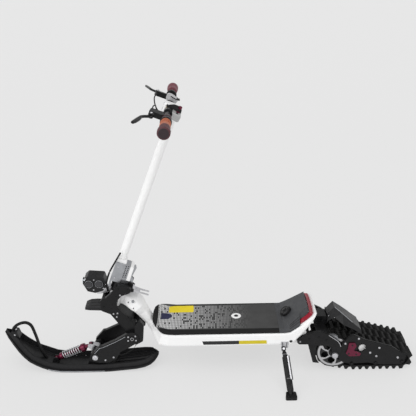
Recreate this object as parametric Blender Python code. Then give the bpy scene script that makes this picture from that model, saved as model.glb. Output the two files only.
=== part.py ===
# All-terrain electric scooter: a front ski on a sprung fork, a white deck frame and a rear rubber track.
# Metres, +Z up, +X to the rear, +Y to the rider's right. The ground is at z = 0.
import math
import bpy
import bmesh
from mathutils import Matrix, Vector

# Clearances
FIT = 0.0003
RUN = 0.0010

# Deck frame
DECK_HALF = 0.110
DECK_BOTTOM = 0.146
DECK_TOP = 0.202
DECK_FRONT = -0.150
DECK_REAR = 0.318
FRAME_WALL = 0.010
FRAME_EDGE = 0.010
NECK_HALF = 0.042
NECK_ROOT_HALF = 0.029
NECK_HEAD_HALF = 0.030
NECK_THICK = 0.040
TAIL_END = 0.428
TAIL_RISE = 0.066
COVER_PLATE = 0.004

# Deck mat and kick tail
MAT_THICK = 0.012
MAT_HALF = DECK_HALF - 0.003
MAT_BEVEL = 0.010
MAT_FRONT = -0.222
MAT_LIP = 0.022
MAT_SEAM = 0.279
KICK_CLIMB = 0.077
KICK_START = 0.019
KICK_CREST = 0.0355
LIGHT_START = 0.362
LIGHT_WIDTH = 0.014
LIGHT_HEIGHT = 0.011
RIM_WIDTH = 0.011
TAIL_MARGIN = RIM_WIDTH + LIGHT_WIDTH + 0.0068
KNOB_RADIUS = 0.024
KNOB_HEIGHT = 0.014

# Steering axis, through AXIS_FOOT and leaning back
LEAN = math.radians(21.0)
AXIS_FOOT_X = -0.343
AXIS_FOOT_Z = 0.379
HEAD_RADIUS = 0.027
HEAD_BOTTOM = -0.095
HEAD_TOP = -0.032
STEERER_RADIUS = 0.015
COLLAR_HALF = 0.033
LEG_OUTER = 0.050
LEG_INNER = 0.034
LATCH_PERP = 0.052
LATCH_REACH = -0.004
LATCH_PIN_RADIUS = 0.0028
FOLD_PERP = 0.037
FOLD_REACH = 0.021
FOLD_PIN_RADIUS = 0.004
FOLD_EAR_INNER = 0.020
FOLD_EAR_OUTER = 0.0265
COLLAR_TOP = 0.012
KNEE_X = -0.304
KNEE_Z = 0.160
KNEE_RADIUS = 0.028
KNEE_PIN_RADIUS = 0.008
ARM_INNER = 0.0505
ARM_OUTER = 0.066
FENDER_HALF = 0.034
FENDER_TOP = 0.291
FENDER_DEPTH = 0.017
LAMP_Z = 0.391
LAMP_X = (-0.462, -0.4225)
LAMP_RADIUS = 0.0185
LAMP_HALF = 0.026

# Stem and handlebar
STEM_OFFSET = 0.0254
STEM_RADIUS = 0.017
BLOCK_HALF = 0.027
BLOCK_BOTTOM = COLLAR_TOP + 0.0013
BLOCK_TOP = BLOCK_BOTTOM + 0.084
BLOCK_SKIRT = 0.030
STEM_START = BLOCK_TOP + 0.0015
BAR_SETBACK = -0.020
BAR_HEIGHT = 0.754
BAR_RADIUS = 0.0095
BAR_HALF = 0.322
GRIP_RADIUS = 0.017
GRIP_LENGTH = 0.125
GRIP_INNER = BAR_HALF + 0.005 - GRIP_LENGTH
LEVER_Y = GRIP_INNER - 0.034
LEVER_AHEAD = 0.053
LEVER_UP = -0.002
LEVER_TILT = 0.14
LEVER_HALF_THICK = 0.0040
LEVER_PIN = 0.0025
PERCH_Y = GRIP_INNER - 0.052
HOSE_RADIUS = 0.0022
CABLE_RADIUS = 0.0035

# Ski
SKI_HALF = 0.066
SKI_EDGE = 0.007
SKI_FLOOR = 0.0055
SKI_WALL = 0.026
SKI_FLANGE = 0.011
RUNNER_HALF = 0.011
RUNNER_DEPTH = 0.0012
AXLE_X = -0.458
AXLE_Z = 0.074
AXLE_RADIUS = 0.007
LOOP_RADIUS = 0.0065
SPRING_RADIUS = 0.0150
SPRING_WIRE = 0.0022
SPRING_TURNS = 8
UPPER_SEAT = 0.042
LOWER_SEAT = 0.128
SHOCK_TOP = Vector((AXLE_X - 0.029, 0, AXLE_Z + 0.016))
SHOCK_FOOT = Vector((AXLE_X - 0.176, 0, AXLE_Z - 0.0465))
SHOCK_EYE_HALF = 0.0068
SHOCK_LUG_OUTER = 0.0125
SHOCK_PIN = 0.0035
MOUNT_HALF = 0.0375
MOUNT_SLOT_HALF = 0.027

# Kickstand
STAND_X = 0.298
STAND_Y = -0.1075
STAND_Z = 0.126
STAND_FOOT = (0.315, -0.242)
STAND_AXIS = Vector((-0.08, -0.70, 0.71)).normalized()
STAND_PIN = 0.0030
TAB_THICK = 0.008

# Rear track
TRACK_HALF = 0.078
BELT_THICK = 0.007
LUG_HEIGHT = 0.013
LUG_PITCH = 0.0277
DRIVE_X = 0.503
DRIVE_Z = 0.092
DRIVE_RADIUS = 0.055
IDLER_X = 0.7784
IDLER_RADIUS = 0.028
BOGIE_FRONT = DRIVE_X + 0.072
BOGIE_X = (BOGIE_FRONT, BOGIE_FRONT + (IDLER_X - BOGIE_FRONT) * 0.476893)
DRIVE_DRAWN = 0.503
REACH_DRAWN = 0.2754
BOGIE_RADIUS = 0.022
ROTOR_RADIUS = 0.070
ROTOR_HALF = 0.0011
ROTOR_Y = -0.0835
PLATE_INNER = 0.0880
PLATE_THICK = 0.0050
SWING_INNER = 0.0945
SWING_THICK = 0.0095
SWING_X = 0.362
SWING_Z = 0.160
SWING_RADIUS = 0.012
DRIVE_AXLE = 0.008
FIN_FRONT = 0.437
FIN_REAR = 0.4785
FIN_LOW = 0.1903
FIN_HIGH = 0.225
FIN_COUNT = 3
FIN_HALF = 0.027

SMOOTH_ANGLE = math.radians(35.0)
PALETTE = {}


def clear_scene():
    for old in list(bpy.data.objects):
        bpy.data.objects.remove(old, do_unlink=True)


def material(name, colour, roughness, metallic=0.0):
    if name not in PALETTE:
        made = bpy.data.materials.new(name)
        made.use_nodes = True
        shader = made.node_tree.nodes["Principled BSDF"]
        shader.inputs["Base Color"].default_value = (*colour, 1.0)
        shader.inputs["Roughness"].default_value = roughness
        shader.inputs["Metallic"].default_value = metallic
        made.diffuse_color = (*colour, 1.0)
        PALETTE[name] = made
    return PALETTE[name]


def white_paint():
    return material("white_paint", (0.85, 0.85, 0.84), 0.35)


def black_paint():
    return material("black_paint", (0.022, 0.022, 0.024), 0.45)


def black_plastic():
    return material("black_plastic", (0.030, 0.030, 0.032), 0.55)


def rubber():
    return material("rubber", (0.025, 0.025, 0.025), 0.85)


def steel():
    return material("steel", (0.62, 0.62, 0.64), 0.28, 1.0)


def alloy():
    return material("alloy", (0.55, 0.56, 0.58), 0.40, 1.0)


def crimson():
    return material("crimson_metal", (0.23, 0.02, 0.06), 0.35, 0.7)


# Shape helpers

def new_object(name, mesh, surface):
    made = bpy.data.objects.new(name, mesh)
    bpy.context.scene.collection.objects.link(made)
    mesh.materials.append(surface)
    return made


def from_bmesh(name, shape, surface, smooth=False):
    bmesh.ops.recalc_face_normals(shape, faces=shape.faces)
    mesh = bpy.data.meshes.new(name)
    shape.to_mesh(mesh)
    shape.free()
    if smooth:
        mesh.shade_smooth()
        mesh.set_sharp_from_angle(angle=SMOOTH_ANGLE)
    return new_object(name, mesh, surface)


def loft(name, rings, surface, smooth=False, closed=False):
    """Skin a row of rings with equal point counts; the ends are capped unless the row is closed."""
    shape = bmesh.new()
    rows = [[shape.verts.new(point) for point in ring] for ring in rings]
    count = len(rings[0])
    spans = len(rows) if closed else len(rows) - 1
    for index in range(spans):
        here = rows[index]
        after = rows[(index + 1) % len(rows)]
        for step in range(count):
            side = (step + 1) % count
            shape.faces.new((here[step], here[side], after[side], after[step]))
    if not closed:
        shape.faces.new(rows[0])
        shape.faces.new(rows[-1])
    return from_bmesh(name, shape, surface, smooth)


def prism(name, outline, low, high, surface, smooth=False):
    """A side outline of (x, z) points carried across from y = low to y = high."""
    rings = [[(x, y, z) for x, z in outline] for y in (low, high)]
    return loft(name, rings, surface, smooth)


def slab(name, outline, low, high, surface, smooth=False):
    """A plan outline of (x, y) points raised from z = low to z = high."""
    rings = [[(x, y, z) for x, y in outline] for z in (low, high)]
    return loft(name, rings, surface, smooth)


def rounded(outline, radius, steps=3):
    """Round each corner of a flat outline by a radius, held to half of the shorter side."""
    result = []
    count = len(outline)
    for index in range(count):
        corner = Vector(outline[index])
        back = Vector(outline[index - 1]) - corner
        ahead = Vector(outline[(index + 1) % count]) - corner
        half_angle = back.angle(ahead) / 2
        if half_angle > math.radians(85.0):
            result.append(tuple(corner))
            continue
        reach = min(radius / math.tan(half_angle), back.length * 0.45, ahead.length * 0.45)
        fitted = reach * math.tan(half_angle)
        centre = corner + (back.normalized()
                           + ahead.normalized()).normalized() * (fitted / math.sin(half_angle))
        start = corner + back.normalized() * reach - centre
        sweep = math.pi - 2 * half_angle
        turn = 1.0 if back.x * ahead.y - back.y * ahead.x < 0 else -1.0
        for step in range(steps + 1):
            angle = turn * sweep * step / steps
            x = start.x * math.cos(angle) - start.y * math.sin(angle)
            y = start.x * math.sin(angle) + start.y * math.cos(angle)
            result.append((centre.x + x, centre.y + y))
    return result


def frame_of(direction):
    """Two unit vectors at right angles to a direction."""
    along = Vector(direction).normalized()
    guide = Vector((0, 1, 0)) if abs(along.y) < 0.9 else Vector((0, 0, 1))
    side = along.cross(guide).normalized()
    return along, side, along.cross(side)


def ring_at(centre, side, up, radius, count):
    points = []
    for step in range(count):
        angle = 2 * math.pi * step / count
        points.append(Vector(centre) + (side * math.cos(angle) + up * math.sin(angle)) * radius)
    return points


def turned(name, centre, direction, profile, count, surface, bore=None):
    """Turn a profile of (distance, radius) pairs about an axis; a bore runs right through."""
    along, side, up = frame_of(direction)
    rings = [ring_at(Vector(centre) + along * reach, side, up, radius, count) for reach, radius in profile]
    if bore is None:
        return loft(name, rings, surface, smooth=True)
    first = Vector(centre) + along * profile[0][0]
    last = Vector(centre) + along * profile[-1][0]
    rings.append(ring_at(last, side, up, bore, count))
    rings.append(ring_at(first, side, up, bore, count))
    return loft(name, rings, surface, smooth=True, closed=True)


def rod(name, start, end, radius, count, surface, bore=None):
    start = Vector(start)
    length = (Vector(end) - start).length
    return turned(name, start, Vector(end) - start, [(0.0, radius), (length, radius)], count, surface, bore)


def box(name, centre, size, surface, turn=0.0, edge=0.0):
    """A block turned about Y by an angle, its edges taken off by an optional bevel."""
    shape = bmesh.new()
    bmesh.ops.create_cube(shape, size=1.0)
    bmesh.ops.scale(shape, vec=size, verts=shape.verts)
    if edge:
        bmesh.ops.bevel(shape, geom=shape.edges[:], offset=edge, segments=1, affect="EDGES")
    bmesh.ops.rotate(shape, matrix=Matrix.Rotation(turn, 3, "Y"), verts=shape.verts)
    bmesh.ops.translate(shape, vec=centre, verts=shape.verts)
    return from_bmesh(name, shape, surface)


def smooth_path(points, count):
    """Points spaced evenly along a smooth curve through the given ones."""
    points = [Vector(point) for point in points]
    fine = []
    for index in range(len(points) - 1):
        before = points[max(index - 1, 0)]
        start = points[index]
        end = points[index + 1]
        after = points[min(index + 2, len(points) - 1)]
        for step in range(16):
            t = step / 16
            pull = (2 * start + (end - before) * t
                    + (2 * before - 5 * start + 4 * end - after) * t * t
                    + (3 * start - before - 3 * end + after) * t * t * t)
            fine.append(pull * 0.5)
    fine.append(points[-1])
    lengths = [0.0]
    for index in range(1, len(fine)):
        lengths.append(lengths[-1] + (fine[index] - fine[index - 1]).length)
    result = []
    cursor = 0
    for step in range(count):
        goal = lengths[-1] * step / (count - 1)
        while cursor < len(fine) - 2 and lengths[cursor + 1] < goal:
            cursor += 1
        gap = lengths[cursor + 1] - lengths[cursor]
        share = (goal - lengths[cursor]) / gap if gap else 0.0
        result.append(fine[cursor].lerp(fine[cursor + 1], min(share, 1.0)))
    return result


def hose(name, points, radius, surface, count, resolution=2):
    """A round tube along a smooth curve, with filled ends."""
    curve = bpy.data.curves.new(name, "CURVE")
    curve.dimensions = "3D"
    curve.bevel_depth = radius
    curve.bevel_resolution = resolution
    curve.use_fill_caps = True
    spline = curve.splines.new("POLY")
    route = smooth_path(points, count) if count else [Vector(point) for point in points]
    spline.points.add(len(route) - 1)
    for place, point in zip(spline.points, route):
        place.co = (*point, 1.0)
    return new_object(name, curve, surface)


def swept(name, points, radius, surface, count, sides=12):
    """A round bar along a smooth curve, as a mesh that can cut or join others."""
    route = smooth_path(points, count)
    rings = []
    side = None
    for index, point in enumerate(route):
        before = route[max(index - 1, 0)]
        after = route[min(index + 1, len(route) - 1)]
        along = (after - before).normalized()
        if side is None:
            side = frame_of(along)[1]
        side = (side - along * side.dot(along)).normalized()
        rings.append(ring_at(point, side, along.cross(side), radius, sides))
    return loft(name, rings, surface, smooth=True)


def boolean(target, other, operation):
    step = target.modifiers.new(operation.lower(), "BOOLEAN")
    step.operation = operation
    step.solver = "EXACT"
    step.object = other
    other.hide_render = True
    other.display_type = "WIRE"


def cut(target, *cutters):
    for cutter in cutters:
        boolean(target, cutter, "DIFFERENCE")
    return target


def join(target, *others):
    for other in others:
        boolean(target, other, "UNION")
    return target


def empty_at(name, place, parent=None):
    made = bpy.data.objects.new(name, None)
    bpy.context.scene.collection.objects.link(made)
    made.empty_display_size = 0.02
    hang(made, parent)
    origin = Vector(parent["place"]) if parent else Vector((0, 0, 0))
    made.location = Vector(place) - origin
    made["place"] = tuple(place)
    return made


def hang(child, parent):
    """Parent a child that is modelled in world coordinates, leaving it where it is."""
    if parent is None:
        return
    child.parent = parent
    child.location = -Vector(parent["place"])


# Deck frame

def slope_height(x):
    """Height of the shell's top face: flat along the deck, then up the sloping tail."""
    flat_end = DECK_REAR - 0.018
    start = DECK_REAR + 0.004
    if x <= flat_end:
        return DECK_TOP
    if x <= start:
        return DECK_TOP + 0.003 * (x - flat_end) / (start - flat_end)
    return DECK_TOP + 0.003 + (x - start) * TAIL_RISE / (TAIL_END - 0.008 - start)


def tail_half(x):
    """Half width of the tail surround, drawn in towards its rounded rear corners."""
    start = DECK_REAR
    share = max(0.0, min(1.0, (x - start) / (TAIL_END - start)))
    return DECK_HALF * (1.0 - 0.10 * share - 0.32 * share ** 7)


def shell_ring(top, bottom, half, edge):
    """A cross-section of the frame: a rectangle with its four corners rounded."""
    top = Vector((top[0], 0, top[1]))
    bottom = Vector((bottom[0], 0, bottom[1]))
    height = (top - bottom).length
    rise = (top - bottom) / height
    edge = min(edge, height * 0.4, half * 0.4)
    outline = rounded([(-half, 0), (half, 0), (half, height), (-half, height)], edge, 2)
    return [bottom + rise * up + Vector((0, side, 0)) for side, up in outline]


def build_frame(root):
    thick = NECK_THICK
    flare = DECK_HALF
    low = DECK_BOTTOM
    high = DECK_TOP
    front = DECK_FRONT
    bend = front - 0.071
    stations = [
        ((bend - 0.129, high + 0.143), (bend - 0.137, high + 0.094), NECK_HEAD_HALF * 0.6),
        ((bend - 0.104, high + 0.136), (bend - 0.119, high + 0.090), NECK_HEAD_HALF * 0.7),
        ((bend - 0.083, high + 0.126), (bend - 0.107, high + 0.088), NECK_HEAD_HALF),
        ((bend - 0.058, high + 0.114), (bend - 0.084, high + 0.114 - thick), NECK_HALF),
        ((bend - 0.039, high + 0.094), (bend - 0.070, high + 0.104 - thick), NECK_HALF),
        ((bend - 0.024, high + 0.066), (bend - 0.057, high + 0.040), NECK_ROOT_HALF + 0.002),
        ((bend - 0.0035, high + 0.0215), (bend - 0.030, high + 0.005), NECK_ROOT_HALF),
        ((bend + 0.009, high + 0.008), (bend - 0.013, high - 0.014), NECK_ROOT_HALF + 0.013),
        ((bend + 0.021, high), (bend + 0.004, low + 0.019), flare - 0.044),
        ((bend + 0.040, high), (bend + 0.022, low + 0.003), flare - 0.014),
        ((front, high), (front - 0.012, low), flare - 0.003),
        ((front + 0.030, high), (front + 0.028, low), flare),
        ((DECK_REAR - 0.018, high), (DECK_REAR - 0.018, low), flare),
    ]
    for x, low_x, low_z in ((DECK_REAR + 0.004, 0.004, low), (DECK_REAR + 0.032, 0.012, low + 0.036),
                            (DECK_REAR + 0.060, 0.014, low + 0.073),
                            (DECK_REAR + 0.082, 0.010, low + 0.096),
                            (DECK_REAR + 0.095, 0.008, low + 0.112),
                            (DECK_REAR + 0.104, 0.006, low + 0.121)):
        stations.append(((x, slope_height(x)), (x + low_x, low_z), tail_half(x)))
    rings = [shell_ring(top, bottom, half, FRAME_EDGE) for top, bottom, half in stations]
    shell = loft("frame_shell", rings, white_paint(), smooth=True)
    head = turned("head_tube_solid", axis_point(0.0), axis_direction(),
                  [(HEAD_BOTTOM, HEAD_RADIUS), (HEAD_TOP, HEAD_RADIUS)], 22, white_paint())
    bore = turned("head_tube_bore", axis_point(0.0), axis_direction(),
                  [(HEAD_BOTTOM - 0.01, STEERER_RADIUS + FIT), (HEAD_TOP + 0.01, STEERER_RADIUS + FIT)],
                  22, white_paint())
    bay_start = front + 0.015
    bay_end = DECK_REAR - 0.018
    bay_half = DECK_HALF - FRAME_WALL
    bay_top = DECK_TOP - FRAME_WALL - 0.002
    bay = box("battery_bay", ((bay_start + bay_end) / 2, 0, (bay_top + low - 0.02) / 2),
              (bay_end - bay_start, 2 * bay_half, bay_top - low + 0.02), white_paint())
    lug = prism("swing_lug_solid", rounded([(SWING_X - 0.034, low + 0.004),
                                            (SWING_X + 0.006, low + 0.048),
                                            (SWING_X + 0.026, low + 0.052),
                                            (SWING_X + 0.019, SWING_Z - 0.010),
                                            (SWING_X + 0.004, SWING_Z - 0.018),
                                            (SWING_X - 0.030, low + 0.0005)], 0.004, 2),
                -SWING_INNER + 0.003, SWING_INNER - 0.003, white_paint())
    swing_bore = rod("swing_bore", (SWING_X, -0.12, SWING_Z), (SWING_X, 0.12, SWING_Z),
                     SWING_RADIUS + FIT, 18, white_paint())
    join(shell, head, lug)
    cut(shell, bore, bay, swing_bore)
    hang(shell, root)

    floor_top = low + COVER_PLATE
    cover = box("bottom_cover", ((bay_start + bay_end) / 2, 0, low + COVER_PLATE / 2),
                (bay_end - bay_start - 2 * FIT, 2 * (bay_half - FIT), COVER_PLATE), black_paint())
    hang(cover, root)
    split = bay_start + (bay_end - bay_start) * 0.62
    pack_high = bay_top - 0.004
    for name, start, end, half, high_z, surface in (("battery_pack", bay_start + 0.012, split,
                                                     bay_half - 0.014, pack_high,
                                                     material("battery_wrap", (0.05, 0.12, 0.30), 0.5)),
                                                    ("motor_controller", split + 0.016, bay_end - 0.012,
                                                     bay_half - 0.030, pack_high - 0.010, alloy())):
        bottom = floor_top + FIT
        piece = box(name, ((start + end) / 2, 0, (bottom + high_z) / 2),
                    (end - start, 2 * half, high_z - bottom), surface, edge=0.003)
        hang(piece, root)
    return shell


def mat_outline(inset):
    """Plan of the deck mat: a bow-shaped front and a straight rear seam."""
    half = MAT_HALF - inset
    front = MAT_FRONT + inset * 0.9
    points = [(MAT_SEAM, -half)]
    side = [(-0.130, 1.0), (-0.153, 0.985), (-0.175, 0.93), (-0.195, 0.83), (-0.209, 0.70),
            (-0.218, 0.50), (-0.222, 0.25)]
    for x, share in side:
        place = max(x + inset * 0.9, front) if x < -0.14 else x
        points.append((place, -half * share))
    points += [(x, -y) for x, y in reversed(points)]
    return points


def lip_height(x):
    """How far the mat's rim stands up: flat along the sides, curled at the front."""
    share = max(0.0, min(1.0, (-0.125 - x) / 0.095))
    return MAT_LIP * share ** 1.3


def build_mat(root):
    base = DECK_TOP + FIT
    top = base + MAT_THICK
    seat = []
    for x, y in mat_outline(0.0):
        pull = max(0.0, min(1.0, (-0.185 - x) / 0.037))
        seat.append((x + 0.0245 * pull, y * (1.0 - 0.12 * pull), base))
    skirt = [(x, y, base + 0.0035 + lip_height(x) * 0.95) for x, y in mat_outline(0.0)]
    crest = [(x, y, base + 0.006 + lip_height(x) * 1.25) for x, y in mat_outline(0.003)]
    shoulder = [(x, y, top + lip_height(x) * 0.75) for x, y in mat_outline(MAT_BEVEL)]
    tread = [(x, y, top) for x, y in mat_outline(MAT_BEVEL + 0.010)]
    mat = loft("deck_mat", [seat, skirt, crest, shoulder, tread], rubber(), smooth=True)
    hang(mat, root)


def kick_station(x):
    """Base height, base half width, top height and top half width of the kick tail cover."""
    climb_start = MAT_SEAM + KICK_START
    crest = TAIL_END - KICK_CREST
    end = TAIL_END - TAIL_MARGIN
    base = slope_height(x) + FIT
    half = min(MAT_HALF, tail_half(x) - 0.003)
    if x > LIGHT_START - 0.0015:
        half = tail_half(x + 0.008) - RIM_WIDTH - LIGHT_WIDTH - 3 * FIT
    share = max(0.0, (min(x, crest) - climb_start) / (crest - climb_start))
    top = DECK_TOP + FIT + MAT_THICK + KICK_CLIMB * share
    top_half = MAT_HALF - MAT_BEVEL - 0.042 * share ** 0.8
    if x > crest:
        drop = (x - crest) / (end - crest)
        top = top - (top - base - 0.006) * drop
        top_half = top_half - 0.006 * drop
    return base, half, top, top_half


def tail_light_path(reach):
    """The light's U-shaped run, from the near flank round the rear edge to the far flank."""
    points = []
    rear = TAIL_END - RIM_WIDTH - LIGHT_WIDTH / 2 - 0.0025
    for back in (rear - LIGHT_START, 0.0335, 0.0215, 0.0125, 0.006, 0.002):
        x = rear - back
        points.append((x, -(tail_half(x + 0.004) - reach)))
    points.append((rear, -0.3 * DECK_HALF))
    points += [(x, -y) for x, y in reversed(points)]
    return points


def light_rings(tall):
    """Cross-sections of the tail light."""
    rings = []
    path = tail_light_path(RIM_WIDTH + LIGHT_WIDTH / 2)
    for index, (x, y) in enumerate(path):
        before = Vector(path[max(index - 1, 0)])
        after = Vector(path[min(index + 1, len(path) - 1)])
        along = (after - before).normalized()
        side = Vector((along.y, -along.x))
        near = Vector((x, y)) + side * LIGHT_WIDTH / 2
        far = Vector((x, y)) - side * LIGHT_WIDTH / 2
        rings.append([(near.x, near.y, slope_height(near.x) + FIT),
                      (near.x, near.y, slope_height(near.x) + tall * 0.55),
                      (x, y, slope_height(x) + FIT + tall),
                      (far.x, far.y, slope_height(x) + FIT + tall + 0.002),
                      (far.x, far.y, slope_height(far.x) + FIT)])
    return rings


def build_tail(root):
    rings = []
    rear = TAIL_END - TAIL_MARGIN
    for x in (MAT_SEAM + FIT, MAT_SEAM + 0.012, DECK_REAR - 0.018, DECK_REAR + 0.004, 0.346,
              LIGHT_START - 0.002, LIGHT_START - 0.001, rear - 0.022, TAIL_END - KICK_CREST, rear):
        base, half, top, top_half = kick_station(x)
        half = max(half, top_half)
        lip = base + 0.0055
        rings.append([(x, -half, base), (x, -half, lip), (x, -top_half, top),
                      (x, top_half, top), (x, half, lip), (x, half, base)])
    cover = loft("kick_tail_cover", rings, black_plastic(), smooth=True)
    hang(cover, root)
    light = loft("tail_light", light_rings(LIGHT_HEIGHT),
                 material("tail_light_red", (0.45, 0.01, 0.04), 0.2), smooth=True)
    hang(light, root)
    slope = Vector((TAIL_END - KICK_CREST - MAT_SEAM - KICK_START, 0, KICK_CLIMB)).normalized()
    normal = Vector((-slope.z, 0, slope.x))
    foot_x = DECK_REAR
    foot = Vector((foot_x, 0, kick_station(foot_x)[2])) + normal * (FIT + 0.0004)
    knob = turned("charge_port_cap", foot, normal, [(0.0, KNOB_RADIUS), (KNOB_HEIGHT * 0.7, KNOB_RADIUS),
                                                    (KNOB_HEIGHT, KNOB_RADIUS * 0.82)], 22,
                  black_plastic())
    hang(knob, root)


# Steering axis

def axis_direction():
    return Vector((math.sin(LEAN), 0, math.cos(LEAN)))


def axis_point(reach):
    return Vector((AXIS_FOOT_X, 0, AXIS_FOOT_Z)) + axis_direction() * reach


def stem_point(reach, ahead=0.0):
    """A point on the stem's centre line, which lies in front of the steering axis."""
    forward = Vector((-math.cos(LEAN), 0, math.sin(LEAN)))
    return axis_point(reach) + forward * (STEM_OFFSET + ahead)


def across(perp, reach, y=0.0):
    """A point behind (perp) and along (reach) the steering axis, at a place across."""
    rearward = Vector((math.cos(LEAN), 0, -math.sin(LEAN)))
    return axis_point(reach) + rearward * perp + Vector((0, y, 0))


def leaning_prism(name, outline, low, high, surface, smooth=False):
    """A prism whose outline is given behind and along the steering axis."""
    flat = []
    for perp, reach in outline:
        place = across(perp, reach)
        flat.append((place.x, place.z))
    return prism(name, flat, low, high, surface, smooth)


# Fork and what turns with it

def build_fork(steering):
    low_gap = 0.0012
    collar = turned("steering_collar", axis_point(0.0), axis_direction(),
                    [(HEAD_BOTTOM - 0.030, STEERER_RADIUS - 0.0004),
                     (HEAD_TOP + low_gap, STEERER_RADIUS - 0.0004),
                     (HEAD_TOP + low_gap, COLLAR_HALF - 0.003), (HEAD_TOP + 0.006, COLLAR_HALF),
                     (COLLAR_TOP - 0.002, COLLAR_HALF), (COLLAR_TOP, COLLAR_HALF - 0.002)], 22,
                    black_paint())
    ear_outline = rounded([(0.020, -0.010), (0.050, -0.011), (0.059, -0.007), (0.058, 0.001),
                           (0.046, 0.006), (0.046, FOLD_REACH + 0.006), (0.030, FOLD_REACH + 0.009),
                           (0.024, COLLAR_TOP - 0.001), (0.010, COLLAR_TOP - 0.001)], 0.004, 2)
    for sign in (-1, 1):
        low, high = sorted((sign * FOLD_EAR_INNER, sign * FOLD_EAR_OUTER))
        join(collar, leaning_prism("fold_ear_solid", ear_outline, low, high, black_paint()))
    pin_start = across(FOLD_PERP, FOLD_REACH, -FOLD_EAR_OUTER - 0.002)
    pin_end = across(FOLD_PERP, FOLD_REACH, FOLD_EAR_OUTER + 0.002)
    join(collar, rod("fold_pin_solid", pin_start, pin_end, FOLD_PIN_RADIUS, 16, steel()))
    latch_reach = FOLD_EAR_OUTER - 0.001
    join(collar, rod("latch_pin_solid", across(LATCH_PERP, LATCH_REACH, -latch_reach),
                     across(LATCH_PERP, LATCH_REACH, latch_reach), LATCH_PIN_RADIUS, 12, steel()))
    hang(collar, steering)

    leg_outline = rounded([(-0.419, 0.331), (-0.421, 0.283), (-0.383, 0.265), (-0.357, 0.224),
                           (-0.330, 0.190), (-0.318, 0.138), (-0.292, 0.138), (-0.284, 0.178),
                           (-0.284, 0.228), (-0.290, 0.236), (-0.300, 0.226), (-0.360, 0.300),
                           (-0.351, 0.330), (-0.335, 0.348), (-0.299, 0.360), (-0.299, 0.384),
                           (-0.352, 0.393), (-0.374, 0.360), (-0.400, 0.338)], 0.006, 1)
    fork = prism("fork_body", leg_outline, -LEG_OUTER, -LEG_INNER, black_paint())
    right = prism("fork_right_leg_solid", leg_outline, LEG_INNER, LEG_OUTER, black_paint())
    crown = box("fork_crown_solid", axis_point(HEAD_BOTTOM - 0.014), (0.058, 2 * LEG_INNER + 0.004, 0.020),
                black_paint(), turn=LEAN)
    bridge = prism("fork_bridge_solid", [(-0.372, 0.246), (-0.353, 0.262), (-0.300, 0.200), (-0.318, 0.186)],
                   -LEG_INNER - 0.002, LEG_INNER + 0.002, black_paint())
    front_plate = prism("fork_front_solid", [(-0.417, 0.326), (-0.419, 0.286), (-0.409, 0.286),
                                             (-0.407, 0.322)], -LEG_INNER - 0.002, LEG_INNER + 0.002,
                        black_paint())
    back_plate = prism("fork_back_solid", [(-0.3540, 0.2755), (-0.3600, 0.2680), (-0.3045, 0.2185),
                                           (-0.2985, 0.2235)], -LEG_INNER - 0.002, LEG_INNER + 0.002,
                       black_paint())
    join(fork, right, crown, bridge, front_plate, back_plate)
    steerer_bore = turned("fork_steerer_bore", axis_point(0.0), axis_direction(),
                          [(HEAD_BOTTOM - 0.060, STEERER_RADIUS), (HEAD_BOTTOM + 0.02, STEERER_RADIUS)],
                          22, black_paint())
    knee_bore = rod("knee_bore", (KNEE_X, -0.08, KNEE_Z), (KNEE_X, 0.08, KNEE_Z), KNEE_PIN_RADIUS + FIT,
                    16, black_paint())
    knee_outline = rounded([(-0.290, 0.218), (-0.270, 0.245), (-0.254, 0.220), (-0.261, 0.147),
                            (-0.286, 0.132), (-0.296, 0.132)], 0.004, 1)
    for sign in (-1, 1):
        low, high = sorted((sign * (LEG_OUTER - 0.003), sign * ARM_OUTER))
        knee = prism("knee_cover_solid", knee_outline, low, high, black_plastic())
        inner, outer = sorted((sign * (LEG_OUTER + 0.0002), sign * (ARM_OUTER + 0.01)))
        cut(knee, rod("arm_sweep", (KNEE_X, inner, KNEE_Z), (KNEE_X, outer, KNEE_Z),
                      KNEE_RADIUS + 0.0015, 18, black_plastic()))
        join(fork, knee)
    cut(fork, steerer_bore, knee_bore)
    hang(fork, steering)
    build_fender(steering)
    build_headlight(steering)


def build_fender(steering):
    """A short flat hood ahead of the fork legs, open below."""
    top = FENDER_TOP
    sections = ((-0.4212, 0.0, 1.0, 1.0), (-0.445, 0.001, 1.0, 1.0), (-0.470, 0.000, 0.97, 0.9),
                (-0.487, -0.006, 0.86, 0.5))
    rings = []
    for x, rise, share, deep in sections:
        half = FENDER_HALF * share
        crown = top + rise
        foot = crown - FENDER_DEPTH * deep
        outer = [(-half, foot), (-half, crown - 0.004), (-half + 0.005, crown), (half - 0.005, crown),
                 (half, crown - 0.004), (half, foot)]
        inner = [(y * 0.90, foot + (z - foot) * 0.80) for y, z in reversed(outer)]
        rings.append([(x, y, z) for y, z in outer + inner])
    fender = loft("front_fender", rings, black_plastic(), smooth=True)
    hang(fender, steering)


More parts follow.
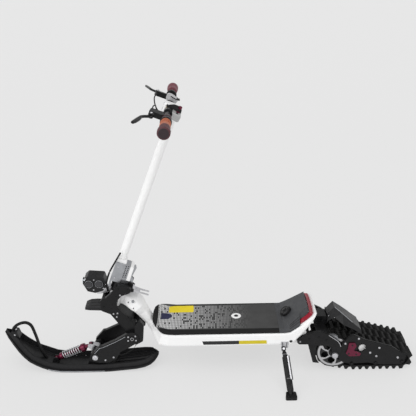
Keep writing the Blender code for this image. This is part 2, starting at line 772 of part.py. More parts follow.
def build_headlight(steering):
    case_outline = rounded([(-0.486, 0.392), (-0.480, 0.412), (-0.466, 0.424), (-0.405, 0.419),
                            (-0.397, 0.392), (-0.408, 0.360), (-0.440, 0.350), (-0.470, 0.358)], 0.006,
                           2)
    case = prism("headlight_case", case_outline, -LAMP_HALF, LAMP_HALF, black_plastic())
    front = turned("headlight_lens", (-0.4864, 0, 0.391), (-1, 0, 0), [(0.0, 0.014), (0.004, 0.0125),
            (0.006, 0.008)], 18, material("lens_clear", (0.75, 0.78, 0.80), 0.1))
    lamp_seat = box("lens_seat", (-0.491, 0, 0.391), (0.0094, 0.05, 0.05), black_plastic())
    cut(case, lamp_seat)
    hang(case, steering)
    hang(front, steering)
    for x in LAMP_X:
        disc = turned("lamp_cap_solid", (x, -LAMP_HALF - 0.004, LAMP_Z), (0, 1, 0),
                      [(0.0, LAMP_RADIUS - 0.003), (0.003, LAMP_RADIUS),
                       (2 * LAMP_HALF + 0.005, LAMP_RADIUS),
                       (2 * LAMP_HALF + 0.008, LAMP_RADIUS - 0.003)], 18, black_paint())
        join(case, disc)
    plate = prism("headlight_bracket", [(-0.4360, 0.3505), (-0.4100, 0.3587), (-0.4035, 0.3650),
                                        (-0.360, 0.3760), (-0.360, 0.3640), (-0.392, 0.3460),
                                        (-0.420, 0.3405), (-0.436, 0.3405)], -0.015, 0.015,
                  black_paint())
    clear = turned("collar_clearance", axis_point(0.0), axis_direction(),
                   [(-0.06, COLLAR_HALF + FIT), (0.03, COLLAR_HALF + FIT)], 22, black_paint())
    cut(plate, clear)
    hang(plate, steering)


# Fold block, stem and handlebar

def build_stem(stem):
    front = rounded([(-0.043, BLOCK_BOTTOM), (-0.004, BLOCK_BOTTOM), (-0.004, BLOCK_TOP),
                     (-0.043, BLOCK_TOP)], 0.004, 1)
    block = leaning_prism("fold_block", front, -BLOCK_HALF, BLOCK_HALF, alloy())
    knuckle_outline = rounded([(-0.006, BLOCK_BOTTOM), (0.024, BLOCK_BOTTOM),
                               (0.031, FOLD_REACH - 0.006), (0.043, FOLD_REACH - 0.006),
                               (0.044, FOLD_REACH + 0.006), (0.030, FOLD_REACH + 0.012),
                               (-0.006, FOLD_REACH + 0.012)], 0.003, 1)
    knuckle = leaning_prism("fold_knuckle_solid", knuckle_outline, -FOLD_EAR_INNER + RUN,
                            FOLD_EAR_INNER - RUN, alloy())
    skirt = leaning_prism("fold_skirt_solid", [(-0.043, BLOCK_BOTTOM - BLOCK_SKIRT),
                                               (-0.0365, BLOCK_BOTTOM - BLOCK_SKIRT + 0.004),
                                               (-0.0365, BLOCK_BOTTOM + 0.004),
                                               (-0.043, BLOCK_BOTTOM + 0.004)], -BLOCK_HALF + 0.002,
                          BLOCK_HALF - 0.002, alloy())
    join(block, knuckle, skirt)
    pin_low = across(FOLD_PERP, FOLD_REACH, -0.04)
    pin_high = across(FOLD_PERP, FOLD_REACH, 0.04)
    cut(block, rod("fold_block_bore", pin_low, pin_high, FOLD_PIN_RADIUS + FIT, 16, alloy()))
    hang(block, stem)

    shelf = FOLD_REACH + 0.012 + FIT
    strip = leaning_prism("latch_strip_solid", [(-0.006, shelf - 0.004), (0.0155, shelf - 0.004),
                                                (0.0155, BLOCK_TOP - 0.002),
                                                (-0.006, BLOCK_TOP - 0.002)], -BLOCK_HALF + 0.003,
                          BLOCK_HALF - 0.003, black_plastic())
    join(block, strip)
    plate = leaning_prism("latch_plate", [(0.0155 + FIT, shelf), (0.030, shelf),
                                          (0.0290, BLOCK_TOP - 0.006), (0.0155 + FIT, BLOCK_TOP)],
                          -BLOCK_HALF + 0.001, BLOCK_HALF - 0.001, white_paint())
    hook_outline = rounded([(0.030 + FIT, shelf + 0.012), (0.0345, shelf + 0.012),
                            (0.0405, BLOCK_TOP - 0.012), (0.0330, BLOCK_TOP + 0.001),
                            (0.0293, BLOCK_TOP - 0.004)], 0.002, 1)
    hook = leaning_prism("safety_hook", hook_outline, -0.004, 0.004, alloy())
    for piece in (plate, hook):
        hang(piece, stem)

    seat = leaning_prism("stem_foot_solid", [(-0.046, BLOCK_TOP + FIT), (-0.004, BLOCK_TOP + FIT),
                                             (-0.004, BLOCK_TOP + 0.010), (-0.010, BLOCK_TOP + 0.016),
                                             (-0.044, BLOCK_TOP + 0.016)], -0.021, 0.021, white_paint())
    tube_start = stem_point(BLOCK_TOP + 0.003)
    tube_end = stem_point(BAR_HEIGHT - 0.034 - 0.0205)
    tube = turned("stem_tube", tube_start, axis_direction(),
                  [(0.0, STEM_RADIUS), ((tube_end - tube_start).length, STEM_RADIUS)], 24, white_paint())
    bore = turned("stem_tube_bore", tube_start, axis_direction(),
                  [(0.004, STEM_RADIUS - 0.0025), (0.8, STEM_RADIUS - 0.0025)], 16, white_paint())
    join(tube, seat)
    cut(tube, bore)
    hang(tube, stem)
    build_bar(stem, tube_end)


def bar_point(y, ahead=0.0, up=0.0):
    """A point beside the handlebar: across, ahead of it and above it, in the stem's leaning frame."""
    forward = Vector((-math.cos(LEAN), 0, math.sin(LEAN)))
    return bar_axis() + forward * ahead + axis_direction() * up + Vector((0, y, 0))


def bar_axis():
    return stem_point(BAR_HEIGHT - 0.0205, -BAR_SETBACK)


def build_bar(stem, tube_end):
    clamp_half = 0.022
    rise = (bar_axis() - tube_end).dot(axis_direction())
    clamp = turned("stem_clamp", tube_end + axis_direction() * FIT, axis_direction(),
                   [(0.0, STEM_RADIUS + 0.0015), (0.006, STEM_RADIUS + 0.003),
                    (rise - 0.012, STEM_RADIUS + 0.003), (rise - 0.002, STEM_RADIUS)], 22, white_paint())
    jaw = box("bar_jaw_solid", bar_axis(), (0.040, 2 * clamp_half, 0.036), white_paint(), turn=LEAN,
              edge=0.005)
    join(clamp, jaw)
    cut(clamp, rod("bar_jaw_bore", bar_point(-0.1), bar_point(0.1), BAR_RADIUS + FIT, 18, white_paint()))
    hang(clamp, stem)
    bar = rod("handlebar", bar_point(-BAR_HALF), bar_point(BAR_HALF), BAR_RADIUS, 18, black_paint(),
              bore=BAR_RADIUS - 0.002)
    hang(bar, stem)
    for side, sign in (("left", -1), ("right", 1)):
        build_grip(stem, side, sign)
        build_perch(stem, side, sign)
    build_controls(stem)


def build_grip(stem, side, sign):
    inner = GRIP_INNER
    across_bar = (0, sign, 0)
    if side == "right":
        collar_profile = [(0.0, GRIP_RADIUS + 0.001), (0.003, GRIP_RADIUS + 0.003),
                          (0.010, GRIP_RADIUS + 0.003), (0.013, GRIP_RADIUS + 0.001)]
        hang(turned("grip_collar", bar_point(inner - 0.0133), across_bar, collar_profile, 24,
                    black_plastic(), bore=BAR_RADIUS + FIT), stem)
    length = GRIP_LENGTH
    grip = turned("grip_" + side, bar_point(sign * inner), across_bar,
                  [(0.0, GRIP_RADIUS), (0.012, GRIP_RADIUS - 0.001), (length * 0.45, GRIP_RADIUS + 0.0015),
                   (length * 0.70, GRIP_RADIUS + 0.001), (length * 0.80, GRIP_RADIUS + 0.0045),
                   (length * 0.96, GRIP_RADIUS + 0.0045), (length, GRIP_RADIUS - 0.001)], 18,
                  material("grip_leather", (0.30, 0.09, 0.05), 0.6))
    socket = turned("grip_socket_" + side, bar_point(sign * (inner - 0.01)), across_bar,
                    [(0.0, BAR_RADIUS + FIT), (0.01 + BAR_HALF - inner + FIT, BAR_RADIUS + FIT)], 18,
                    rubber())
    cut(grip, socket)
    hang(grip, stem)


def lever_point(sign, out, ahead, rise=0.0):
    """A point in a brake lever's own plane, which drops outwards from the lever's pivot."""
    tilt = math.atan(LEVER_TILT)
    across_out = out * math.cos(tilt) + rise * math.sin(tilt)
    up = rise * math.cos(tilt) - out * math.sin(tilt)
    return bar_point(sign * (LEVER_Y + across_out), LEVER_AHEAD + ahead, LEVER_UP + up)


def lever_block(name, sign, outline, low, high, surface):
    """A block whose (out, ahead) outline lies in a lever's plane."""
    rings = [[lever_point(sign, out, ahead, rise) for out, ahead in outline] for rise in (low, high)]
    return loft(name, rings, surface)


def build_perch(stem, side, sign):
    reach = 0.009
    ring = turned("perch_" + side, bar_point(sign * (PERCH_Y - reach)), (0, sign, 0),
                  [(0.0, 0.0160), (2 * reach, 0.0160)], 18, black_paint(), bore=BAR_RADIUS + FIT)
    back = 0.012 - LEVER_AHEAD
    body_outline = rounded([(-0.041, back), (-0.012, back), (-0.012, -0.012), (-0.0095, 0.010),
                            (-0.041, 0.006)], 0.004, 1)
    body = lever_block("perch_body_solid", sign, body_outline, -0.0095, 0.0095, black_paint())
    clear = rod("perch_bar_clearance", bar_point(-BAR_HALF), bar_point(BAR_HALF), 0.0140, 18, black_paint())
    cut(body, clear)
    join(ring, body)
    eye_half = LEVER_HALF_THICK + 0.0002
    ear = rounded([(-0.015, -0.010), (0.004, -0.0085), (0.009, 0.0), (0.004, 0.0085), (-0.015, 0.008)],
                  0.003, 1)
    for low, high in ((eye_half + 0.0002, 0.0080), (-0.0080, -eye_half - 0.0002)):
        join(ring, lever_block("lever_ear_solid", sign, ear, low, high, black_paint()))
    join(ring, rod("lever_pin_solid", lever_point(sign, 0, 0, -0.0092), lever_point(sign, 0, 0, 0.0092),
                   LEVER_PIN, 12, steel()))
    hang(ring, stem)
    holder = empty_at("brake_lever_pivot_" + side, lever_point(sign, 0, 0), stem)
    build_lever(holder, side, sign)


def build_lever(holder, side, sign):
    """A flat blade that starts at its pivot, steps forward and runs outwards beside the grip."""
    line = [(0.0, 0.0, 0.0062), (0.012, 0.004, 0.0055), (0.026, 0.020, 0.0045), (0.036, 0.028, 0.0050),
            (0.060, 0.034, 0.0070), (0.085, 0.042, 0.0068), (0.100, 0.048, 0.0050)]
    rings = []
    for index, (out, ahead, half) in enumerate(line):
        before = Vector(line[max(index - 1, 0)][:2])
        after = Vector(line[min(index + 1, len(line) - 1)][:2])
        along = (after - before).normalized()
        ring = []
        for width, height in ((-1, -0.6), (-0.6, -1), (0.6, -1), (1, -0.6), (1, 0.6), (0.6, 1),
                              (-0.6, 1), (-1, 0.6)):
            ring.append(lever_point(sign, out - along.y * half * width, ahead + along.x * half * width,
                                    height * LEVER_HALF_THICK))
        rings.append(ring)
    lever = loft("brake_lever_" + side, rings, black_paint(), smooth=True)
    eye_half = LEVER_HALF_THICK + 0.0002
    join(lever, rod("lever_eye_solid", lever_point(sign, 0, 0, -eye_half),
                    lever_point(sign, 0, 0, eye_half), 0.0072, 16, black_paint()))
    cut(lever, rod("lever_bore", lever_point(sign, 0, 0, -0.02), lever_point(sign, 0, 0, 0.02),
                   LEVER_PIN + FIT, 12, black_paint()))
    hang(lever, holder)


def build_controls(stem):
    face = Vector((0.55, 0, 0.84)).normalized()
    display_foot = bar_point(0.065, 0.0042, -0.0098) + face * 0.016
    display = turned("display_case", display_foot, face, [(0.0, 0.016), (0.008, 0.022), (0.021, 0.023),
                                                          (0.024, 0.021)], 22,
                     material("display_grey", (0.40, 0.40, 0.40), 0.25))
    strap = rod("display_strap_solid", bar_point(0.0245), bar_point(0.078), 0.0155, 18, black_plastic())
    join(display, strap)
    cut(display, rod("display_bore", bar_point(0.01), bar_point(0.11), BAR_RADIUS + FIT, 18,
                     black_plastic()))
    hang(display, stem)

    box_centre = bar_point(-0.064, -0.027, -0.004)
    control = box("control_box", box_centre, (0.036, 0.042, 0.026),
                  material("control_grey", (0.55, 0.55, 0.55), 0.35), turn=math.radians(28), edge=0.004)
    ring = rod("control_ring_solid", bar_point(-0.076), bar_point(-0.052), 0.0150, 18, black_plastic())
    join(control, ring)
    cut(control, rod("control_bore", bar_point(-0.12), bar_point(-0.02), BAR_RADIUS + FIT, 18,
                     black_plastic()))
    hang(control, stem)

    throttle_y = -LEVER_Y
    length = GRIP_INNER - FIT + throttle_y + 0.0085
    body = turned("throttle_body", bar_point(throttle_y + 0.0085), (0, -1, 0),
                  [(0.0, 0.0165), (length - 0.013, 0.0165), (length - 0.012, GRIP_RADIUS + 0.003),
                   (length - 0.003, GRIP_RADIUS + 0.003), (length, GRIP_RADIUS + 0.001)], 18,
                  black_plastic(), bore=BAR_RADIUS + FIT)
    hang(body, stem)
    holder = empty_at("throttle_pivot", bar_point(throttle_y), stem)
    build_thumb(holder, throttle_y)


def build_thumb(holder, throttle_y):
    """A curved paddle that swings about the handlebar behind the throttle body."""
    rings = []
    steps = 7
    for step in range(steps):
        angle = math.radians(200 + 75 * step / (steps - 1))
        reach = 0.0172 + 0.0145 * (step / (steps - 1)) ** 0.8
        half = 0.0045
        for_ring = []
        for width, depth in ((-1, 0.0), (1, 0.0), (1, 0.0040), (-1, 0.0040)):
            radius = reach + depth
            ahead = math.cos(angle) * radius
            up = math.sin(angle) * radius
            for_ring.append(bar_point(throttle_y - 0.002 + half * width, ahead, up))
        rings.append(for_ring)
    thumb = loft("thumb_throttle", rings, black_plastic(), smooth=True)
    hang(thumb, holder)


def build_latch(steering):
    """The silver release handle behind the collar: two prongs on a short arm."""
    holder = empty_at("latch_pivot", across(LATCH_PERP, LATCH_REACH), steering)
    stub = leaning_prism("latch_lever", rounded([(0.0460, -0.010), (0.060, -0.012), (0.0835, -0.0115),
                                                 (0.0835, -0.0055), (0.062, -0.004), (0.0525, 0.004),
                                                 (0.0475, 0.001)], 0.002, 1), -0.0165, 0.0165, steel())
    for sign in (-1, 1):
        low, high = sorted((sign * 0.0095, sign * 0.0160))
        prong = leaning_prism("latch_prong_solid", [(0.080, -0.0105), (0.1185, -0.0090),
                                                    (0.1215, -0.0065), (0.1180, -0.0050),
                                                    (0.080, -0.0060)], low, high, steel())
        join(stub, prong)
    cut(stub, rod("latch_bore", across(LATCH_PERP, LATCH_REACH, -0.03),
                  across(LATCH_PERP, LATCH_REACH, 0.03), LATCH_PIN_RADIUS + FIT, 12, steel()))
    hang(stub, holder)


def build_hoses(steering, stem):
    """Brake hoses from the levers into the stem clamp, and the cable from the stem foot to the fork."""
    for side, sign in (("front", -1), ("rear", 1)):
        start = lever_point(sign, -0.0425, -0.004)
        route = [start, start + Vector((-0.004, -sign * 0.020, 0.004)),
                 bar_point(sign * 0.060, 0.0560 + 0.003 * sign, 0.004),
                 bar_point(sign * 0.016, 0.0490 + 0.003 * sign, -0.005),
                 bar_point(sign * 0.008, 0.0400, -0.0190), bar_point(sign * 0.006, 0.0270, -0.0290),
                 bar_point(sign * 0.006, 0.0045, -0.042)]
        hang(hose("brake_hose_" + side, route, HOSE_RADIUS, rubber(), 18), stem)
    route = [stem_point(STEM_START + 0.024, STEM_RADIUS - 0.0030) + Vector((0, -0.0250, 0)),
             across(-0.0490, 0.0872, -0.0290), across(-0.0550, 0.0468, -0.0305),
             across(-0.0535, 0.0052, -0.0310), across(-0.0465, -0.0210, -0.0250),
             across(-0.0370, -0.0390, -0.0193)]
    hang(hose("fork_cable", route, CABLE_RADIUS, rubber(), 18), steering)


# Kickstand

def build_kickstand(root):
    """A slanted tab under the deck and a leg that turns beside it about an axis square to the tab."""
    pivot = Vector((STAND_X, STAND_Y, STAND_Z))
    axis = STAND_AXIS
    down = Vector((0, -axis.z, axis.y)).normalized()
    down = (down - axis * down.dot(axis)).normalized()
    side = axis.cross(down)
    corners = rounded([(-0.0095, -0.034), (-0.0095, 0.004), (-0.004, 0.0088), (0.004, 0.0088),
                       (0.0095, 0.004), (0.0095, -0.034)], 0.003, 1)
    rings = [[pivot + side * a + down * b - axis * depth for a,
              b in corners] for depth in (FIT, FIT + TAB_THICK)]
    bracket = loft("kickstand_bracket", rings, alloy())
    roof = box("tab_roof", (STAND_X, STAND_Y, DECK_BOTTOM - FIT + 0.03), (0.1, 0.1, 0.06), alloy())
    cut(bracket, roof, rod("tab_bore", pivot - axis * 0.03, pivot + axis * 0.03, STAND_PIN + FIT, 14,
                           alloy()))
    hang(bracket, root)
    holder = empty_at("kickstand_pivot", pivot, root)
    lift = axis * 0.0085
    foot = Vector((STAND_FOOT[0], STAND_FOOT[1], 0.0))
    along = (foot - pivot - lift).normalized()
    start = pivot + lift - along * 0.002
    leg = turned("kickstand_leg", start, along, [(0.0, 0.0050), (0.012, 0.0060), (0.018, 0.0090),
                                                 (0.026, 0.0080), (0.111, 0.0075), (0.118, 0.0095),
                                                 (0.136, 0.0095), (0.140, 0.0075), (0.177, 0.0070)], 16,
                 black_paint())
    join(leg, rod("kickstand_knuckle_solid", pivot, pivot + axis * 0.0140, 0.0085, 16, black_paint()),
         rod("kickstand_pin_solid", pivot - axis * (TAB_THICK + 2 * FIT + 0.001), pivot + axis * 0.004,
             STAND_PIN, 14, steel()))
    strip_shift = Vector((0.0085, 0, 0))
    join(leg, rod("kickstand_rod_solid", start + along * 0.024 + strip_shift,
                  start + along * 0.120 + strip_shift, 0.0032, 10, steel()))
    pad = slab("kickstand_pad_solid", rounded([(foot.x - 0.024, foot.y - 0.018),
                                               (foot.x + 0.022, foot.y - 0.018),
                                               (foot.x + 0.020, foot.y + 0.020),
                                               (foot.x - 0.018, foot.y + 0.020)], 0.006, 2), 0.0, 0.012,
               rubber())
    join(leg, pad)
    trim = box("kickstand_ground", (foot.x, foot.y, -0.02), (0.2, 0.2, 0.04), rubber())
    cut(leg, trim)
    hang(leg, holder)


# Ski and its sprung arms

# Along the ski: place, height of the underside, share of the full half width
SKI_LINE = [(-0.826, 0.168, 0.17), (-0.812, 0.150, 0.40), (-0.792, 0.125, 0.60), (-0.770, 0.096, 0.76),
            (-0.751, 0.074, 0.86), (-0.728, 0.052, 0.93), (-0.704, 0.038, 0.97), (-0.680, 0.026, 1.0),
            (-0.645, 0.011, 1.0), (-0.606, 0.0035, 1.0), (-0.560, 0.0018, 1.0), (-0.525, 0.0012, 1.0),
            (-0.444, 0.0012, 1.0), (-0.400, 0.003, 1.0), (-0.337, 0.009, 1.0), (-0.294, 0.013, 0.99),
            (-0.261, 0.018, 0.93), (-0.238, 0.024, 0.80), (-0.222, 0.031, 0.60), (-0.211, 0.038, 0.33),
            (-0.206, 0.043, 0.14)]


def ski_normal(index):
    before = Vector(SKI_LINE[max(index - 1, 0)][:2])
    after = Vector(SKI_LINE[min(index + 1, len(SKI_LINE) - 1)][:2])
    along = (after - before).normalized()
    return Vector((-along.y, along.x))


def ski_floor(x):
    """Height of the channel floor above the ground."""
    for start, end in zip(SKI_LINE, SKI_LINE[1:]):
        if start[0] <= x <= end[0]:
            share = (x - start[0]) / (end[0] - start[0])
            return start[1] + (end[1] - start[1]) * share + SKI_FLOOR
    return SKI_FLOOR


def build_ski(ski):
    rings = []
    for index, (x, low, share) in enumerate(SKI_LINE):
        half = SKI_HALF * share
        scale = min(1.0, half / (0.75 * SKI_HALF))
        wall = SKI_WALL * min(1.0, scale * 1.25)
        normal = ski_normal(index)
        side = [(half, 0.0), (half, SKI_EDGE * (0.5 + 0.5 * scale)), (half - SKI_FLANGE * scale,
                SKI_EDGE * (0.6 + 0.5 * scale)), (half - (SKI_FLANGE + 0.004) * scale, wall - 0.002),
                (half - (SKI_FLANGE + 0.009) * scale, wall), (half - (SKI_FLANGE + 0.014) * scale,
                SKI_FLOOR)]
        outline = [(-y, height) for y, height in side] + list(reversed(side))
        rings.append([(x + normal.x * height, y, low + normal.y * height) for y, height in outline])
    shell = loft("ski_shell", rings, black_plastic(), smooth=True)
    tip = prism("ski_tip_solid", [(-0.806, 0.158), (-0.797, 0.172), (-0.776, 0.167), (-0.768, 0.141),
                                  (-0.776, 0.114), (-0.793, 0.128)], -0.018, 0.018, black_plastic())
    join(shell, tip)
    lug_outline = rounded([(SHOCK_FOOT.x - 0.016, ski_floor(SHOCK_FOOT.x - 0.016) - 0.003),
                           (SHOCK_FOOT.x - 0.007, SHOCK_FOOT.z + 0.0085),
                           (SHOCK_FOOT.x + 0.007, SHOCK_FOOT.z + 0.0085), (SHOCK_FOOT.x + 0.016,
            ski_floor(SHOCK_FOOT.x + 0.016) - 0.003)], 0.004, 2)
    for sign in (-1, 1):
        low, high = sorted((sign * (SHOCK_EYE_HALF + RUN), sign * SHOCK_LUG_OUTER))
        join(shell, prism("shock_lug_solid", lug_outline, low, high, black_plastic()))
    join(shell, rod("shock_pin_solid", SHOCK_FOOT - Vector((0, SHOCK_LUG_OUTER + 0.002, 0)),
                    SHOCK_FOOT + Vector((0, SHOCK_LUG_OUTER + 0.002, 0)), SHOCK_PIN, 12, steel()))
    route = [(-0.7985, 0, 0.160), (-0.793, 0, 0.176), (-0.774, 0, 0.194), (-0.744, 0, 0.203),
             (-0.721, 0, 0.190), (-0.709, 0, 0.150), (-0.697, 0, 0.090), (-0.684, 0, 0.048),
             (-0.672, 0, 0.028)]
    loop = hose("ski_loop", route, LOOP_RADIUS, black_paint(), 28, resolution=2)
    reach = [Vector(route[0]) + Vector((-0.001, 0, -0.002))] + route[1:-1] + [Vector(route[-1])
            + Vector((0.001, 0, -0.0015))]
    cut(shell, swept("ski_loop_socket", reach, LOOP_RADIUS + 0.0006, black_paint(), 28))
    hang(shell, ski)
    hang(loop, ski)

    strip = []
    for index, (x, low, share) in enumerate(SKI_LINE):
        if -0.65 < x < -0.33:
            normal = ski_normal(index)
            high = -FIT
            deep = -RUNNER_DEPTH
            strip.append([(x + normal.x * depth, y, low + normal.y * depth) for y,
                          depth in ((-RUNNER_HALF, high), (-RUNNER_HALF + 0.002, deep),
                                    (RUNNER_HALF - 0.002, deep), (RUNNER_HALF, high))])
    hang(loft("ski_runner", strip, steel()), ski)

    seat = 2 * FIT
    front = AXLE_X - 0.042
    rear = AXLE_X + 0.040
    mid = AXLE_X + 0.014
    mount_outline = rounded([(front, ski_floor(front) + seat), (AXLE_X - 0.024, AXLE_Z - 0.004),
                             (AXLE_X - 0.012, AXLE_Z + 0.014), (AXLE_X + 0.012, AXLE_Z + 0.014),
                             (AXLE_X + 0.024, AXLE_Z - 0.004), (rear, ski_floor(rear) + seat),
                             (mid, ski_floor(mid) + seat)], 0.006, 2)
    mount = prism("ski_mount", mount_outline, -MOUNT_HALF, MOUNT_HALF, black_paint())
    slot_floor = ski_floor(rear) + 0.006
    middle = box("mount_slot", (AXLE_X, 0, slot_floor + 0.1), (0.3, 2 * MOUNT_SLOT_HALF, 0.2), black_paint())
    pin_hole = rod("mount_bore", (AXLE_X, -0.09, AXLE_Z), (AXLE_X, 0.09, AXLE_Z), AXLE_RADIUS + FIT, 16,
                   black_paint())
    cut(mount, middle, pin_hole)
    hang(mount, ski)


def arm_outline():
    """Side outline of a pull arm: a round end at the knee and a broad foot at the ski axle."""
    points = [(-0.474, 0.066), (-0.473, 0.084), (-0.440, 0.123), (-0.428, 0.125), (-0.372, 0.152),
              (-0.330, 0.178)]
    steps = 9
    for step in range(steps + 1):
        angle = math.radians(112 - 172 * step / steps)
        points.append((KNEE_X + KNEE_RADIUS * math.cos(angle), KNEE_Z + KNEE_RADIUS * math.sin(angle)))
    points += [(-0.323, 0.115), (-0.354, 0.098), (-0.374, 0.064), (-0.404, 0.047), (-0.446, 0.047),
               (-0.468, 0.053)]
    return points


def build_arms(arm):
    knee_half = ARM_OUTER + 0.0035
    for side, sign in (("left", -1), ("right", 1)):
        low, high = sorted((sign * ARM_INNER, sign * ARM_OUTER))
        plate = prism("front_arm_" + side, arm_outline(), low, high, black_paint())
        axle_hole = rod("arm_axle_bore", (AXLE_X, low - 0.01, AXLE_Z), (AXLE_X, high + 0.01, AXLE_Z),
                        AXLE_RADIUS + FIT, 16, black_paint())
        cut(plate, axle_hole)
        if side == "left":
            join(plate, rod("knee_pin_solid", (KNEE_X, -knee_half, KNEE_Z), (KNEE_X, knee_half, KNEE_Z),
                            KNEE_PIN_RADIUS, 16, steel()))
        else:
            cut(plate, rod("arm_knee_bore", (KNEE_X, low - 0.01, KNEE_Z), (KNEE_X, high + 0.01, KNEE_Z),
                           KNEE_PIN_RADIUS + FIT, 16, black_paint()))
        hang(plate, arm)
    nut = 0.0125
    face = ARM_OUTER + FIT
    axle = turned("ski_axle", (AXLE_X, 0, AXLE_Z), (0, 1, 0), [(-face - 0.0085, nut * 0.6),
            (-face - 0.0065, nut * 0.85), (-face, nut), (-face, AXLE_RADIUS), (face, AXLE_RADIUS),
            (face, nut), (face + 0.0065, nut * 0.85), (face + 0.0085, nut * 0.6)], 16, steel())
    lever_outline = rounded([(AXLE_X - 0.013, AXLE_Z - 0.012), (AXLE_X + 0.014, AXLE_Z - 0.012),
                             (AXLE_X + 0.012, AXLE_Z + 0.014),
                             (SHOCK_TOP.x + 0.004, SHOCK_TOP.z + 0.009),
                             (SHOCK_TOP.x - 0.009, SHOCK_TOP.z + 0.006),
                             (SHOCK_TOP.x - 0.008, SHOCK_TOP.z - 0.007)], 0.005, 2)
    lever = prism("shock_lever_solid", lever_outline, -SHOCK_LUG_OUTER, SHOCK_LUG_OUTER, black_paint())
    slot_half = SHOCK_EYE_HALF + RUN
    slot = prism("shock_lever_slot", [(SHOCK_TOP.x - 0.02, SHOCK_TOP.z - 0.03),
                                      (SHOCK_TOP.x + 0.0125, SHOCK_TOP.z - 0.03),
                                      (SHOCK_TOP.x + 0.0125, SHOCK_TOP.z + 0.03),
                                      (SHOCK_TOP.x - 0.02, SHOCK_TOP.z + 0.03)], -slot_half, slot_half,
                 black_paint())
    cut(lever, slot)
    join(axle, lever, rod("shock_top_pin_solid", SHOCK_TOP - Vector((0, SHOCK_LUG_OUTER + 0.001, 0)),
                          SHOCK_TOP + Vector((0, SHOCK_LUG_OUTER + 0.001, 0)), SHOCK_PIN, 12, steel()))
    hang(axle, arm)


def spring_points(start, along, side, up, seat_gap):
    """A helix between the two cups whose ends run straight for one wire diameter."""
    steps = 9
    first = UPPER_SEAT + seat_gap
    last = LOWER_SEAT - seat_gap
    count = SPRING_TURNS * steps
    points = []
    for step in range(count + 1):
        angle = 2 * math.pi * step / steps
        reach = first + (last - first) * step / count
        points.append(start + along * reach + (side * math.cos(angle) + up * math.sin(angle))
                      * SPRING_RADIUS)
    straight = 2 * SPRING_WIRE
    points.insert(0, points[0] - up * straight)
    points.append(points[-1] + up * straight)
    return points


def build_shock(shock, plunger):
    along = (SHOCK_FOOT - SHOCK_TOP).normalized()
    length = (SHOCK_FOOT - SHOCK_TOP).length
    eye = 0.0068
    cylinder = turned("shock_cylinder", SHOCK_TOP, along, [(0.006, 0.0050), (0.014, 0.0075),
                                                           (0.024, 0.0090), (0.0245, 0.0155),
                                                           (0.029, 0.0165), (UPPER_SEAT - 0.002, 0.0165),
                                                           (UPPER_SEAT, 0.0155), (UPPER_SEAT, 0.0092),
                                                           (0.094, 0.0092), (0.096, 0.0080)], 18,
                      crimson())
    join(cylinder, rod("shock_eye_solid", SHOCK_TOP - Vector((0, SHOCK_EYE_HALF, 0)),
                       SHOCK_TOP + Vector((0, SHOCK_EYE_HALF, 0)), eye + 0.0012, 18, black_paint()))
    cut(cylinder, rod("shock_eye_bore", SHOCK_TOP - Vector((0, 0.02, 0)),
                      SHOCK_TOP + Vector((0, 0.02, 0)), SHOCK_PIN + FIT, 12, black_paint()))
    cut(cylinder, rod("shock_cylinder_bore", SHOCK_TOP + along * 0.060, SHOCK_TOP + along * 0.12, 0.0053,
                      18, black_paint()))
    hang(cylinder, shock)
    lower = turned("shock_rod", SHOCK_TOP, along, [(0.072, 0.0050), (LOWER_SEAT, 0.0050),
                                                   (LOWER_SEAT, 0.0130), (LOWER_SEAT + 0.002, 0.0140),
                                                   (LOWER_SEAT + 0.011, 0.0140),
                                                   (LOWER_SEAT + 0.014, 0.0100),
                                                   (length - 0.008, 0.0062), (length - 0.004, 0.0045)],
                   18, crimson())
    join(lower, rod("shock_foot_eye_solid", SHOCK_FOOT - Vector((0, SHOCK_EYE_HALF, 0)),
                    SHOCK_FOOT + Vector((0, SHOCK_EYE_HALF, 0)), eye, 18, black_paint()))
    cut(lower, rod("shock_foot_bore", SHOCK_FOOT - Vector((0, 0.02, 0)),
                   SHOCK_FOOT + Vector((0, 0.02, 0)), SHOCK_PIN + 0.0009, 12, black_paint()))
    hang(lower, plunger)
    _, side, up = frame_of(along)
    route = spring_points(SHOCK_TOP, along, side, up, SPRING_WIRE + 0.0006)
    spring = hose("shock_spring", route, SPRING_WIRE, black_paint(), 0, resolution=1)
    hang(spring, shock)
    report_gap("shock_spring", route, 2 * SPRING_WIRE)


def report_gap(name, route, thickness):
    """Print the least distance between turns, from one tube surface to the other."""
    least = 1.0
    for index, point in enumerate(route):
        for other in range(index + 5, len(route)):
            least = min(least, (point - route[other]).length)
    print(f"{name}: least gap to itself {1000 * (least - thickness):.2f} mm")


# Rear swing arm and what it carries

